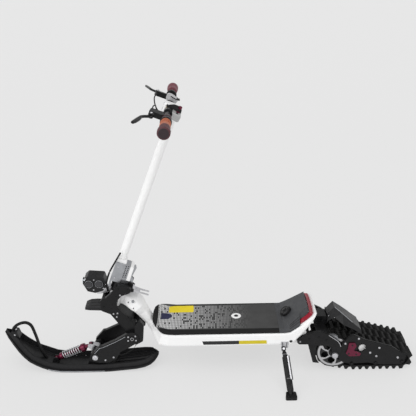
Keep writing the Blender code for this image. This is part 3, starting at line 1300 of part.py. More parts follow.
def build_swing(swing):
    outline = rounded([(0.349, 0.156), (0.360, 0.176), (0.378, 0.187), (0.412, 0.200), (0.440, 0.204),
                       (0.474, 0.187), (0.513, 0.157), (0.527, 0.130), (0.524, 0.100), (0.519, 0.078),
                       (0.492, 0.078), (0.489, 0.100), (0.493, 0.126), (0.470, 0.136), (0.432, 0.137),
                       (0.400, 0.144), (0.358, 0.145)], 0.006, 1)
    low, high = -SWING_INNER - SWING_THICK, -SWING_INNER
    arm = prism("swing_arm", outline, low, high, black_paint())
    far = prism("swing_far_solid", outline, -high, -low, black_paint())
    tube = rod("swing_tube_solid", (SWING_X, low + 0.001, SWING_Z), (SWING_X, -low - 0.001, SWING_Z),
               SWING_RADIUS, 18, black_paint())
    guard = prism("front_guard_solid", [(0.3935, 0.146), (0.398, 0.146), (0.4225, 0.052), (0.418, 0.052)],
                  -SWING_INNER - 0.001, SWING_INNER + 0.001, black_plastic())
    cheek = [(0.3935, 0.146), (0.432, 0.146), (0.4290, 0.115), (0.4285, 0.085), (0.434, 0.064),
             (0.443, 0.048), (0.418, 0.052)]
    cheeks = [prism("guard_cheek_solid", cheek, min(sign * (SWING_INNER - 0.005),
                                                    sign * (SWING_INNER + 0.001)),
                    max(sign * (SWING_INNER - 0.005), sign * (SWING_INNER + 0.001)),
                    black_plastic()) for sign in (-1, 1)]
    bridge = prism("swing_bridge_solid", [(0.4300, 0.180), (0.4300, 0.190), (0.4700, 0.190),
                                          (0.4700, 0.180)], -SWING_INNER - 0.001, SWING_INNER + 0.001,
                   black_paint())
    join(arm, far, tube, guard, bridge, *cheeks)
    cut(arm, rod("swing_axle_bore", (DRIVE_X, low - 0.01, DRIVE_Z), (DRIVE_X, -low + 0.01, DRIVE_Z),
                 DRIVE_AXLE + FIT, 16, black_paint()))
    hang(arm, swing)

    face = SWING_INNER + SWING_THICK + FIT
    nut = 0.0135
    axle = turned("drive_axle", (DRIVE_X, 0, DRIVE_Z), (0, 1, 0), [(-face - 0.009, nut * 0.6),
            (-face - 0.007, nut * 0.9), (-face, nut), (-face, DRIVE_AXLE), (face, DRIVE_AXLE),
            (face, nut), (face + 0.007, nut * 0.9), (face + 0.009, nut * 0.6)], 12, steel())
    hang(axle, swing)

    caliper = prism("brake_caliper", rounded([(0.462, 0.142), (0.466, 0.172), (0.500, 0.178),
                                              (0.516, 0.164), (0.508, 0.142)], 0.005, 1),
                    -SWING_INNER + FIT, -TRACK_HALF - 0.0014, alloy())
    slot = box("caliper_slot", (0.49, ROTOR_Y, 0.10), (0.2, 2 * (ROTOR_HALF + 0.0006), 0.134), alloy())
    cut(caliper, slot)
    hang(caliper, swing)
    build_fender_rear(swing)


def build_fender_rear(swing):
    """A thin folded hood: narrow at its peak, wide over the track, with a slanted front face."""
    front_x = FIN_REAR + FIT
    sections = [(front_x, 0.022, 0.232, 0.034, 0.206), (0.506, 0.022, 0.264, 0.040, 0.226),
                (0.540, 0.031, 0.236, 0.056, 0.200), (0.580, 0.040, 0.201, 0.062, 0.183),
                (0.615, 0.046, 0.171, 0.063, 0.160)]
    skin = 0.003
    rings = []
    for x, top_half, top, low_half, low in sections:
        outer = [(-low_half, low), (-top_half, top), (top_half, top), (low_half, low)]
        inner = [(low_half - skin * 1.4, low - skin * 0.4), (top_half - skin, top - skin),
                 (-top_half + skin, top - skin), (-low_half + skin * 1.4, low - skin * 0.4)]
        rings.append([(x, y, z) for y, z in outer + inner])
    hood = loft("rear_fender", rings, black_plastic())
    front = prism("fender_front_solid", [(front_x, 0.199), (front_x, 0.231), (front_x + 0.0035, 0.2305),
                                         (front_x + 0.0035, 0.199)], -0.033, 0.033, black_plastic())
    join(hood, front)
    hang(hood, swing)

    fins = prism("fin_block", [(FIN_FRONT, FIN_LOW), (FIN_FRONT, FIN_HIGH - 0.004),
                               (FIN_FRONT + 0.003, FIN_HIGH), (FIN_REAR - 0.003, FIN_HIGH),
                               (FIN_REAR, FIN_HIGH - 0.004), (FIN_REAR, FIN_LOW)], -FIN_HALF, FIN_HALF,
                 black_paint())
    pitch = (FIN_HIGH - FIN_LOW - 0.012) / FIN_COUNT
    for index in range(FIN_COUNT):
        z = FIN_LOW + 0.010 + pitch * index
        groove = box("fin_groove", (FIN_FRONT, 0, z), (0.044, 4 * FIN_HALF, pitch * 0.42), black_paint())
        cut(fins, groove)
    hang(fins, swing)


# Track unit, which rocks about the drive axle

def belt_circles():
    """Centre and radius of each roller that the belt's inner face runs round, in order."""
    seat = BELT_THICK + LUG_HEIGHT
    return [(DRIVE_X, DRIVE_Z, DRIVE_RADIUS), (IDLER_X, seat + IDLER_RADIUS, IDLER_RADIUS),
            (BOGIE_X[0], seat + BOGIE_RADIUS, BOGIE_RADIUS)]


def belt_route():
    """Points and outward normals of the belt's inner line, running clockwise from the left."""
    circles = belt_circles()
    count = len(circles)
    normals = []
    for index in range(count):
        x0, z0, r0 = circles[index]
        x1, z1, r1 = circles[(index + 1) % count]
        span = math.hypot(x1 - x0, z1 - z0)
        heading = math.atan2(z1 - z0, x1 - x0)
        normals.append(heading + math.pi / 2 - math.asin((r0 - r1) / span))
    route = []
    for index in range(count):
        x, z, radius = circles[index]
        start = normals[index - 1]
        end = normals[index]
        while end > start:
            end -= 2 * math.pi
        steps = max(2, int(abs(start - end) * radius / 0.004))
        for step in range(steps + 1):
            angle = start + (end - start) * step / steps
            route.append((Vector((x + radius * math.cos(angle), z + radius * math.sin(angle))),
                          Vector((math.cos(angle), math.sin(angle)))))
    return route


def belt_sampler():
    """A function from distance along the belt to a point and its outward normal, with the full length."""
    route = belt_route()
    lengths = [0.0]
    for index in range(len(route)):
        lengths.append(lengths[-1] + (route[(index + 1) % len(route)][0] - route[index][0]).length)
    total = lengths[-1]

    def sample(distance):
        distance %= total
        for index in range(len(route)):
            if lengths[index + 1] >= distance:
                gap = lengths[index + 1] - lengths[index]
                share = (distance - lengths[index]) / gap if gap else 0.0
                here = route[index]
                after = route[(index + 1) % len(route)]
                return here[0].lerp(after[0], share), here[1].lerp(after[1], share).normalized()
        return route[0]

    return sample, total


def build_belt(track):
    sample, total = belt_sampler()
    lugs = round(total / LUG_PITCH)
    pitch = total / lugs

    def outline(shift, tall):
        points = []
        for index in range(lugs):
            for share, height in ((0.0, 0.0), (0.22, tall), (0.52, tall), (0.74, 0.0)):
                point, normal = sample((index + share + shift) * pitch)
                points.append(point + normal * (BELT_THICK + height))
        return points

    def inner(shift):
        points = []
        for index in range(lugs):
            for share in (0.0, 0.22, 0.52, 0.74):
                point, normal = sample((index + share + shift) * pitch)
                points.append(point + normal * 0.0006)
        return points

    row = TRACK_HALF / 3
    step = 0.002
    rings = []
    for y, shift in ((-TRACK_HALF, 0.0), (-row - step, 0.0), (-row + step, 0.5), (row - step, 0.5),
                     (row + step, 0.0), (TRACK_HALF, 0.0)):
        rings.append([(point.x, y, point.y) for point in outline(shift, LUG_HEIGHT)])
    for y in (TRACK_HALF, -TRACK_HALF):
        rings.append([(point.x, y, point.y) for point in inner(0.0)])
    belt = loft("track_belt", rings, rubber(), closed=True)
    hang(belt, track)


def wheel(name, x, z, radius, half, bore, segments, surface):
    made = turned(name, (x, 0, z), (0, 1, 0),
                  [(-half, radius), (-half * 0.45, radius), (-half * 0.45, radius * 0.60),
                   (half * 0.45, radius * 0.60), (half * 0.45, radius), (half, radius)],
                  segments, surface, bore=bore)
    return made


def along_track(points):
    """Places drawn for the wheels as they stand, moved in proportion where a wheel moves."""
    return [(DRIVE_X + (x - DRIVE_DRAWN) * (IDLER_X - DRIVE_X) / REACH_DRAWN, z) for x, z in points]


def build_track(track, drive, rollers):
    build_belt(track)
    seat = BELT_THICK + LUG_HEIGHT
    idler_z = seat + IDLER_RADIUS
    bogie_z = seat + BOGIE_RADIUS
    left_outline = rounded(along_track([(0.541, 0.047), (0.566, 0.041), (0.640, 0.044), (0.690, 0.034),
                                        (0.776, 0.034), (0.790, 0.047), (0.778, 0.086), (0.730, 0.121),
                                        (0.668, 0.141), (0.624, 0.154), (0.572, 0.181), (0.552, 0.166),
                                        (0.534, 0.140), (0.519, 0.112), (0.516, 0.080), (0.524, 0.062)]),
                           0.006, 1)
    right_outline = rounded(along_track([(0.487, 0.085), (0.490, 0.108), (0.514, 0.128), (0.560, 0.139),
                                         (0.624, 0.122), (0.730, 0.093), (0.770, 0.078), (0.790, 0.047),
                                         (0.770, 0.034), (0.690, 0.034), (0.640, 0.044), (0.550, 0.046),
                                         (0.519, 0.062)]), 0.006, 1)
    window = rounded(along_track([(0.605, 0.140), (0.625, 0.126), (0.627, 0.110), (0.612, 0.096),
                                  (0.587, 0.0965), (0.598, 0.115)]), 0.004, 1)
    axle_radius = 0.006
    stops = [(IDLER_X, idler_z)] + [(x, bogie_z) for x in BOGIE_X]
    for side, sign in (("left", -1), ("right", 1)):
        low, high = sorted((sign * PLATE_INNER, sign * (PLATE_INNER + PLATE_THICK)))
        outline = left_outline if side == "left" else right_outline
        plate = prism("track_plate_" + side, outline, low, high, black_paint())
        if side == "left":
            cut(plate, prism("plate_window", window, low - 0.01, high + 0.01, black_paint()))
        else:
            cut(plate, rod("plate_axle_bore", (DRIVE_X, low - 0.01, DRIVE_Z),
                           (DRIVE_X, high + 0.01, DRIVE_Z), DRIVE_AXLE + FIT, 16, black_paint()))
        for x, z in stops:
            end = PLATE_INNER + PLATE_THICK + 0.004
            if side == "left":
                join(plate, rod("roller_axle_solid", (x, -end, z), (x, end, z), axle_radius, 12, steel()))
            else:
                cut(plate, rod("roller_axle_bore", (x, low - 0.01, z), (x, high + 0.01, z),
                               axle_radius + FIT, 12, steel()))
        hang(plate, track)
    brace = rounded(along_track([(0.558, 0.142), (0.582, 0.142), (0.589, 0.127), (0.579, 0.106),
                                 (0.609, 0.092), (0.605, 0.080), (0.563, 0.079), (0.548, 0.093),
                                 (0.555, 0.115)]), 0.003, 1)
    face = PLATE_INNER + PLATE_THICK + FIT
    tensioner = prism("belt_tensioner", brace, -face - 0.004, -face, crimson())
    hang(tensioner, track)

    hub = turned("drive_wheel", (DRIVE_X, 0, DRIVE_Z), (0, 1, 0),
                 [(ROTOR_Y - ROTOR_HALF - 0.0015, 0.022), (-0.060, 0.022), (-0.056, DRIVE_RADIUS),
                  (0.056, DRIVE_RADIUS), (0.060, 0.022), (0.082, 0.018)], 18, black_paint(),
                 bore=DRIVE_AXLE + FIT)
    disc = rod("rotor_solid", (DRIVE_X, ROTOR_Y - ROTOR_HALF, DRIVE_Z),
               (DRIVE_X, ROTOR_Y + ROTOR_HALF, DRIVE_Z), ROTOR_RADIUS, 32, steel(), bore=0.020)
    holes = 6
    for index in range(holes):
        angle = 2 * math.pi * (index + 0.3) / holes
        spot = Vector((DRIVE_X + 0.0385 * math.cos(angle), 0, DRIVE_Z + 0.0385 * math.sin(angle)))
        cut(disc, rod("rotor_window", spot + Vector((0, ROTOR_Y - 0.01, 0)),
                      spot + Vector((0, ROTOR_Y + 0.01, 0)), 0.0145, 10, steel()))
    join(hub, disc)
    hang(hub, drive)
    half = TRACK_HALF - 0.010
    hang(wheel("rear_idler", IDLER_X, idler_z, IDLER_RADIUS, half, axle_radius + FIT, 18,
               black_plastic()), rollers[0])
    for index, x in enumerate(BOGIE_X):
        name = ("bogie_front", "bogie_rear")[index]
        hang(wheel(name, x, bogie_z, BOGIE_RADIUS, half, axle_radius + FIT, 16, black_plastic()),
             rollers[index + 1])


def build_part():
    clear_scene()
    root = empty_at("frame_origin", (0, 0, 0))
    build_frame(root)
    build_mat(root)
    build_tail(root)
    build_kickstand(root)
    steering = empty_at("steering_axis", axis_point(0.0), root)
    build_fork(steering)
    build_latch(steering)
    stem = empty_at("fold_axis", across(FOLD_PERP, FOLD_REACH), steering)
    build_stem(stem)
    build_hoses(steering, stem)
    arm = empty_at("knee_axis", (KNEE_X, 0, KNEE_Z), steering)
    build_arms(arm)
    ski = empty_at("ski_axis", (AXLE_X, 0, AXLE_Z), arm)
    build_ski(ski)
    shock = empty_at("shock_axis", SHOCK_TOP, arm)
    plunger = empty_at("plunger_slide", SHOCK_FOOT, shock)
    build_shock(shock, plunger)
    swing = empty_at("swing_axis", (SWING_X, 0, SWING_Z), root)
    build_swing(swing)
    track = empty_at("track_axis", (DRIVE_X, 0, DRIVE_Z), swing)
    drive = empty_at("drive_spin", (DRIVE_X, 0, DRIVE_Z), swing)
    seat = BELT_THICK + LUG_HEIGHT
    rollers = [empty_at("idler_spin", (IDLER_X, 0, seat + IDLER_RADIUS), track)]
    rollers += [empty_at(f"bogie_spin_{index}", (x, 0, seat + BOGIE_RADIUS), track) for index,
                x in enumerate(BOGIE_X)]
    build_track(track, drive, rollers)


build_part()
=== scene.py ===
"""Looks of the tracked electric scooter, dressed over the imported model."""
import math
import bmesh
import bpy
from mathutils import Matrix, Vector


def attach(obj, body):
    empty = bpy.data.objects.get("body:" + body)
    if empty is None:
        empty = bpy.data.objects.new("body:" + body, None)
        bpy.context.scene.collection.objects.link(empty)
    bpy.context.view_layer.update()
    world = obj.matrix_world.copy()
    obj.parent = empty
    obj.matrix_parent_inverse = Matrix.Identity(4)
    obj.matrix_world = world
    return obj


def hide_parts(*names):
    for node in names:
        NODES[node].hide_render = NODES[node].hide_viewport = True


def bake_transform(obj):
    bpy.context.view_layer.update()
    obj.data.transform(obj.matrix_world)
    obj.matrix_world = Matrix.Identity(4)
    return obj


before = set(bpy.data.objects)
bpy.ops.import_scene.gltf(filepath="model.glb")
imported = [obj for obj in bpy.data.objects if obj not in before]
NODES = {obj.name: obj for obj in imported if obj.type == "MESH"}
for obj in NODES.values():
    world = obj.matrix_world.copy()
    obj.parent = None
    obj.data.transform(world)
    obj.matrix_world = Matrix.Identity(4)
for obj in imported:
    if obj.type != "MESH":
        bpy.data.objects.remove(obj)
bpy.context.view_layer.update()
SIDES = (-1, 1)
AS_GIVEN = (1,)


# Camera, floor and light

FOCAL_PIXELS = 633.1
IMAGE_PIXELS = 416
SENSOR = 36.0
CAMERA_PLACE = (0.009, -2.1931, 1.6229)
CAMERA_PITCH = math.radians(22.97)
CAMERA_ROLL = math.radians(1.06)
SUNS = (("top_sun", 1.1, (0.3, -1.7, 2.6), math.radians(60)),
        ("left_sun", 0.72, (-3.0, -1.5, 2.0), math.radians(40)))
WORLD_FADE = (("From Min", 0.25), ("From Max", 0.75), ("To Min", 0.78), ("To Max", 0.42))
FLOOR_HALF = 30.0
FLOOR_DROP = 0.0004
FLOOR_GREY = 0.22
FLOOR_GLOW = 0.58
WHITE = (1.0, 1.0, 1.0, 1.0)


def grey(level):
    return (level, level, level)


def link_object(name, data):
    item = bpy.data.objects.new(name, data)
    bpy.context.scene.collection.objects.link(item)
    return item


def add_camera():
    data = bpy.data.cameras.new("photo_camera")
    data.sensor_width = SENSOR
    data.sensor_fit = "HORIZONTAL"
    data.lens = FOCAL_PIXELS / IMAGE_PIXELS * SENSOR
    camera = link_object("photo_camera", data)
    turn = Matrix.Rotation(math.pi / 2 - CAMERA_PITCH, 4, "X") @ Matrix.Rotation(-CAMERA_ROLL, 4, "Z")
    camera.matrix_world = Matrix.Translation(CAMERA_PLACE) @ turn
    bpy.context.scene.camera = camera


def add_sun(name, energy, place, spread):
    """A soft sun that shines from a place towards the origin."""
    data = bpy.data.lights.new(name, "SUN")
    data.energy = energy
    data.angle = spread
    aim = -Vector(place)
    lamp = link_object(name, data)
    lamp.matrix_world = Matrix.Translation(place) @ aim.to_track_quat("-Z", "Y").to_matrix().to_4x4()


def add_world():
    """A white surround, brighter low down, where it is seen behind the floor, than overhead."""
    world = bpy.data.worlds.new("studio")
    world.use_nodes = True
    tree = world.node_tree
    back = tree.nodes["Background"]
    back.inputs["Color"].default_value = WHITE
    heading = tree.nodes.new("ShaderNodeSeparateXYZ")
    tree.links.new(tree.nodes.new("ShaderNodeTexCoord").outputs["Generated"], heading.inputs[0])
    fade = tree.nodes.new("ShaderNodeMapRange")
    for name, value in WORLD_FADE:
        fade.inputs[name].default_value = value
    tree.links.new(heading.outputs["Z"], fade.inputs["Value"])
    tree.links.new(fade.outputs["Result"], back.inputs["Strength"])
    bpy.context.scene.world = world


def add_floor():
    """A plain pale floor that is partly lit from within, as a studio table is."""
    mesh = bpy.data.meshes.new("floor")
    corners = [(x, y, 0) for x, y in ((-FLOOR_HALF, -FLOOR_HALF), (FLOOR_HALF, -FLOOR_HALF),
                                      (FLOOR_HALF, FLOOR_HALF), (-FLOOR_HALF, FLOOR_HALF))]
    mesh.from_pydata(corners, [], [(0, 1, 2, 3)])
    floor = link_object("floor", mesh)
    floor.location.z = -FLOOR_DROP
    paint = Paint("floor_paint", grey(FLOOR_GREY), 0.9, spec=0.1).noise_colour(0.004, 2.0)
    paint.glow(FLOOR_GLOW)
    mesh.materials.append(paint.done())


def add_studio():
    add_world()
    bpy.context.scene.view_settings.view_transform = "Standard"
    for sun in SUNS:
        add_sun(*sun)
    add_floor()


# Sizes and places repeated from the solids, lengths in metres

LEAN = math.radians(21.0)
AXIS_X = -0.343
AXIS_Z = 0.379
BAR_X = -0.12252
BAR_Z = 1.08005
MAT_TOP = 0.2143
DECK_HALF = 0.11
DRIVE_X = 0.503
DRIVE_Z = 0.092
ROTOR_Y = -0.0835
AXLE_X = -0.458
AXLE_Z = 0.074
LAMP_X = (-0.462, -0.4225)
LAMP_Z = 0.391
LAMP_HALF = 0.026
LEVER_Y = 0.168
LEVER_AHEAD = 0.053
LEVER_UP = -0.002
LEVER_TILT = 0.14
UPPER_SEAT = 0.042
LOWER_SEAT = 0.128
SPRING_RADIUS = 0.015
SPRING_WIRE = 0.0022
SPRING_TURNS = 8
STEM_OFFSET = 0.0254
CABLE_RADIUS = 0.0035
LEG_OUTER = 0.05
ARM_OUTER = 0.066
SWING_OUTER = 0.104
PLATE_OUTER = 0.093
KNEE_X = -0.304
KNEE_Z = 0.16
SKI_FLOOR = 0.0055
SKI_LINE = [(-0.826, 0.168), (-0.812, 0.15), (-0.792, 0.125), (-0.77, 0.096), (-0.751, 0.074),
            (-0.728, 0.052), (-0.704, 0.038), (-0.68, 0.026), (-0.645, 0.011), (-0.606, 0.0035),
            (-0.56, 0.0018), (-0.525, 0.0012), (-0.444, 0.0012), (-0.4, 0.003), (-0.337, 0.009),
            (-0.294, 0.013), (-0.261, 0.018), (-0.238, 0.024), (-0.222, 0.031), (-0.211, 0.038)]


# Materials

EVEN = (1, 1, 1)
PATCH_RANGE = (0.3, 0.7)
GLOSS_RANGE = (0.25, 0.75)
DUST_RANGE = (0.52, 0.8)
COAT_ROUGH = 0.12


class Paint:
    """A Principled material built up from procedural nodes in object coordinates."""

    def __init__(self, name, colour, rough, metal=0.0, coat=0.0, spec=0.5):
        self.material = bpy.data.materials.new(name)
        self.material.use_nodes = True
        self.tree = self.material.node_tree
        self.shader = self.tree.nodes["Principled BSDF"]
        self.feed(self.shader, {"Metallic": metal, "Coat Weight": coat, "Coat Roughness": COAT_ROUGH,
                                "Specular IOR Level": spec})
        self.coords = self.tree.nodes.new("ShaderNodeTexCoord").outputs["Object"]
        self.colour = colour
        self.rough = rough
        self.height = None

    def feed(self, node, inputs):
        """Links the outputs of other nodes to a node's inputs, or gives the inputs plain values."""
        for name, value in inputs.items():
            if isinstance(value, bpy.types.NodeSocket):
                self.tree.links.new(value, node.inputs[name])
            else:
                node.inputs[name].default_value = value

    def node(self, kind, inputs):
        node = self.tree.nodes.new("ShaderNode" + kind)
        self.feed(node, inputs)
        return node

    def maths(self, operation, *values):
        node = self.node("Math", {})
        node.operation = operation
        self.feed(node, dict(enumerate(values)))
        return node.outputs[0]

    def product(self, first, *others):
        for other in others:
            first = self.maths("MULTIPLY", first, other)
        return first

    def noise(self, scale, detail=3.0, stretch=EVEN, rough=0.55):
        mapping = self.node("Mapping", {"Vector": self.coords, "Scale": stretch})
        return self.node("TexNoise", {"Vector": mapping.outputs["Vector"], "Scale": scale, "Detail": detail,
                                      "Roughness": rough}).outputs["Fac"]

    def ramp(self, value, low, high):
        """Zero at the low value, one at the high one, and even between them."""
        return self.node("MapRange", {"Value": value, "From Min": low, "From Max": high}).outputs["Result"]

    def mix(self, mask, first, second, mode="MIX"):
        node = self.node("Mix", {})
        node.data_type = "RGBA"
        node.blend_type = mode
        first, second = [(*value, 1.0) if isinstance(value, tuple) else value for value in (first, second)]
        self.feed(node, {"Factor": mask, 6: first, 7: second})
        return node.outputs[2]

    def glow(self, strength):
        """Light given off evenly, as by a lit studio table."""
        self.feed(self.shader, {"Emission Color": WHITE, "Emission Strength": strength})
        return self

    def noise_colour(self, amount, scale):
        """Lighter and darker patches over the whole surface."""
        field = self.ramp(self.noise(scale, 4.0), *PATCH_RANGE)
        shade = self.maths("MULTIPLY_ADD", field, 2 * amount, 1.0 - amount)
        self.colour = self.mix(1.0, self.colour, shade, "MULTIPLY")
        return self

    def noise_rough(self, amount, scale, stretch=EVEN):
        """Duller and shinier patches."""
        field = self.ramp(self.noise(scale, 3.0, stretch), *GLOSS_RANGE)
        self.rough = self.maths("MULTIPLY_ADD", field, 2 * amount, self.rough - amount)
        return self

    def bump(self, field, size):
        """Adds a height field, in metres, to the surface."""
        part = self.product(field, size)
        self.height = part if self.height is None else self.maths("ADD", self.height, part)
        return self

    def grain(self, scale, size, stretch=EVEN):
        return self.bump(self.noise(scale, 2.0, stretch), size)

    def dots(self, scale, size, sharp=0.35):
        """Small round bumps, close together."""
        node = self.node("TexVoronoi", {"Vector": self.coords, "Scale": scale})
        return self.bump(self.ramp(node.outputs["Distance"], sharp, 0.0), size)

    def spread(self, colour, mask):
        """Lays another colour where the mask is one."""
        self.colour = self.mix(mask, self.colour, colour)
        return self

    def dust(self, colour, amount, scale):
        mask = self.ramp(self.noise(scale, 6.0, rough=0.7), *DUST_RANGE)
        return self.spread(colour, self.product(mask, amount))

    def position(self):
        return self.node("SeparateXYZ", {0: self.coords}).outputs

    def reach_from(self, first, second):
        """Distance from a line, given the two offsets across it."""
        squares = self.maths("ADD", self.product(first, first), self.product(second, second))
        return self.maths("SQRT", squares)

    def between(self, value, low, high, soft=0.0004):
        """One where the value lies between two limits."""
        rise = self.ramp(value, low - soft, low + soft)
        fall = self.ramp(value, high + soft, high - soft)
        return self.product(rise, fall)

    def done(self):
        self.feed(self.shader, {"Base Color": self.colour, "Roughness": self.rough})
        if self.height is not None:
            bump = self.node("Bump", {"Strength": 1.0, "Distance": 1.0, "Height": self.height})
            self.feed(self.shader, {"Normal": bump.outputs["Normal"]})
        return self.material


# The mat's print: columns and rows of dashes, from the front end to the rear one

DASH_PITCH = 0.0058
DASH_LENGTH = 0.012
DASH_ACROSS = (0.12, 0.74, 0.08)
DASH_ALONG = (0.06, 0.94, 0.05)
PRINT_START = -0.196
PRINT_END = 0.18
PRINT_FRONT = PRINT_START - 0.006
PRINT_HALF = 0.084
PRINT_Z = (MAT_TOP - 0.0012, MAT_TOP - 0.0004)
FADE_X = 0.004
FADE_Y = 0.002
PRINT_GREY = 0.84
BARE_AT_FRONT = 0.05
BARE_BY_REAR = 0.3
THINNING_POWER = 1.3
MAT_GREY = 0.062
SHADED_FLANK_AND_LIP_GREY = 0.01
SHADED_FLANK_Y = (0.0885, 0.0905)
LIP_X = (PRINT_FRONT, PRINT_FRONT - 0.002)


def printed_mat():
    """Grained rubber with a print of short pale dashes that thins out towards the rear, a dark front lip, and
    painted shade on its flanks.
    """
    paint = Paint("mat_rubber", grey(MAT_GREY), 0.74, spec=0.2).noise_colour(0.1, 25)
    paint.grain(2600, 0.00008).dots(700, 0.00006)
    x, y, z = paint.position()
    columns = paint.product(x, 1 / DASH_PITCH)
    rows = paint.product(y, 1 / DASH_LENGTH)
    cell = paint.node("CombineXYZ", {0: paint.maths("FLOOR", columns), 1: paint.maths("FLOOR", rows)})
    chance = paint.node("TexWhiteNoise", {"Vector": cell.outputs[0]})
    thinning = paint.ramp(x, PRINT_START, PRINT_END)
    left_out = paint.maths("ADD", paint.product(thinning, BARE_BY_REAR), BARE_AT_FRONT)
    chosen = paint.maths("GREATER_THAN", chance.outputs["Value"], left_out)
    dash = paint.product(paint.between(paint.maths("FRACT", columns), *DASH_ACROSS),
                         paint.between(paint.maths("FRACT", rows), *DASH_ALONG))
    field = paint.product(paint.between(y, -PRINT_HALF, PRINT_HALF, FADE_Y),
                          paint.between(x, PRINT_FRONT, PRINT_END, FADE_X), paint.ramp(z, *PRINT_Z))
    strength = paint.maths("POWER", paint.maths("SUBTRACT", 1.0, thinning), THINNING_POWER)
    paint.spread(grey(PRINT_GREY), paint.product(dash, chosen, field, strength))
    # Darker at the mat's sides and front lip: painted shade on the flanks and bevel, while the lip is the
    # mat's own black end piece
    shaded_flank = paint.ramp(paint.maths("ABSOLUTE", y), *SHADED_FLANK_Y)
    paint.spread(grey(SHADED_FLANK_AND_LIP_GREY), paint.maths("MAXIMUM", shaded_flank, paint.ramp(x, *LIP_X)))
    return paint


# The grips: brown with a dark outer part on the left, maroon with a grey ring on the right, dark ends

GRIP_BROWN = (0.47, 0.155, 0.085)
GRIP_MAROON = (0.165, 0.045, 0.06)
GRIP_DARK = (0.085, 0.022, 0.028)
GRIP_RING = 0.3
GRIP_END = (0.022, 0.01, 0.014)
MAROON_FROM_Y = (-0.01, 0.01)
DARK_FROM_Y = (-0.268, -0.2705)
RING_Y = (0.2005, 0.21)
END_FROM_Y = (0.3255, 0.3262)


def grip_paint():
    """Leather-like sleeves in the colours above."""
    paint = Paint("grip_leather", GRIP_BROWN, 0.58).noise_colour(0.14, 55)
    paint.noise_rough(0.08, 90).dots(520, 0.00012, 0.5).grain(1500, 0.00006)
    _, y, _ = paint.position()
    paint.spread(GRIP_MAROON, paint.ramp(y, *MAROON_FROM_Y))
    paint.spread(GRIP_DARK, paint.ramp(y, *DARK_FROM_Y))
    paint.spread(grey(GRIP_RING), paint.between(y, *RING_Y))
    paint.spread(GRIP_END, paint.ramp(paint.maths("ABSOLUTE", y), *END_FROM_Y))
    return paint


STRAP_BLACK = (0.012, 0.012, 0.013)
STRAP_REACH = (0.0168, 0.0162)


def strapped(paint):
    """Black where the part is a strap round the handlebar."""
    x, _, z = paint.position()
    reach = paint.reach_from(paint.maths("ADD", x, -BAR_X), paint.maths("ADD", z, -BAR_Z))
    return paint.spread(STRAP_BLACK, paint.ramp(reach, *STRAP_REACH))


# The brake rotor: curved dark gaps between its spokes, and a dark hub and wheel round it

SPOKES = 6
SPOKE_SWEEP = 26.0
SPOKE_EDGE = (0.3, 0.36)
GAP_REACH = (0.024, 0.0565, 0.0006)
DISC_HALF = 0.0014
DISC_EDGE = (0.0655, 0.065)
DISC_STEEL = (0.55, 0.55, 0.56)


def rotor_paint():
    """Black hub, with bare steel on the thin disc."""
    paint = Paint("rotor_metal", (0.011, 0.011, 0.012), 0.36, spec=0.4).noise_colour(0.12, 60)
    paint.noise_rough(0.08, 160).grain(1200, 0.00003)
    x, y, z = paint.position()
    disc = paint.between(y, ROTOR_Y - DISC_HALF, ROTOR_Y + DISC_HALF, 0.0001)
    behind = paint.maths("ADD", x, -DRIVE_X)
    rise = paint.maths("ADD", z, -DRIVE_Z)
    reach = paint.reach_from(behind, rise)
    turn = paint.product(paint.maths("ARCTAN2", rise, behind), SPOKES / 2)
    swept = paint.maths("ADD", turn, paint.product(reach, SPOKE_SWEEP))
    wave = paint.maths("ABSOLUTE", paint.maths("SINE", swept))
    gap = paint.product(paint.between(reach, *GAP_REACH), paint.ramp(wave, *SPOKE_EDGE))
    bare = paint.product(disc, paint.ramp(reach, *DISC_EDGE), paint.maths("SUBTRACT", 1.0, gap))
    paint.spread(DISC_STEEL, bare)
    paint.feed(paint.shader, {"Metallic": bare})
    return paint


# Plain paints: the amount and scale of the patches in colour (shade) and in gloss, the scale and height of
# the grain, and the dust's colour, amount and scale

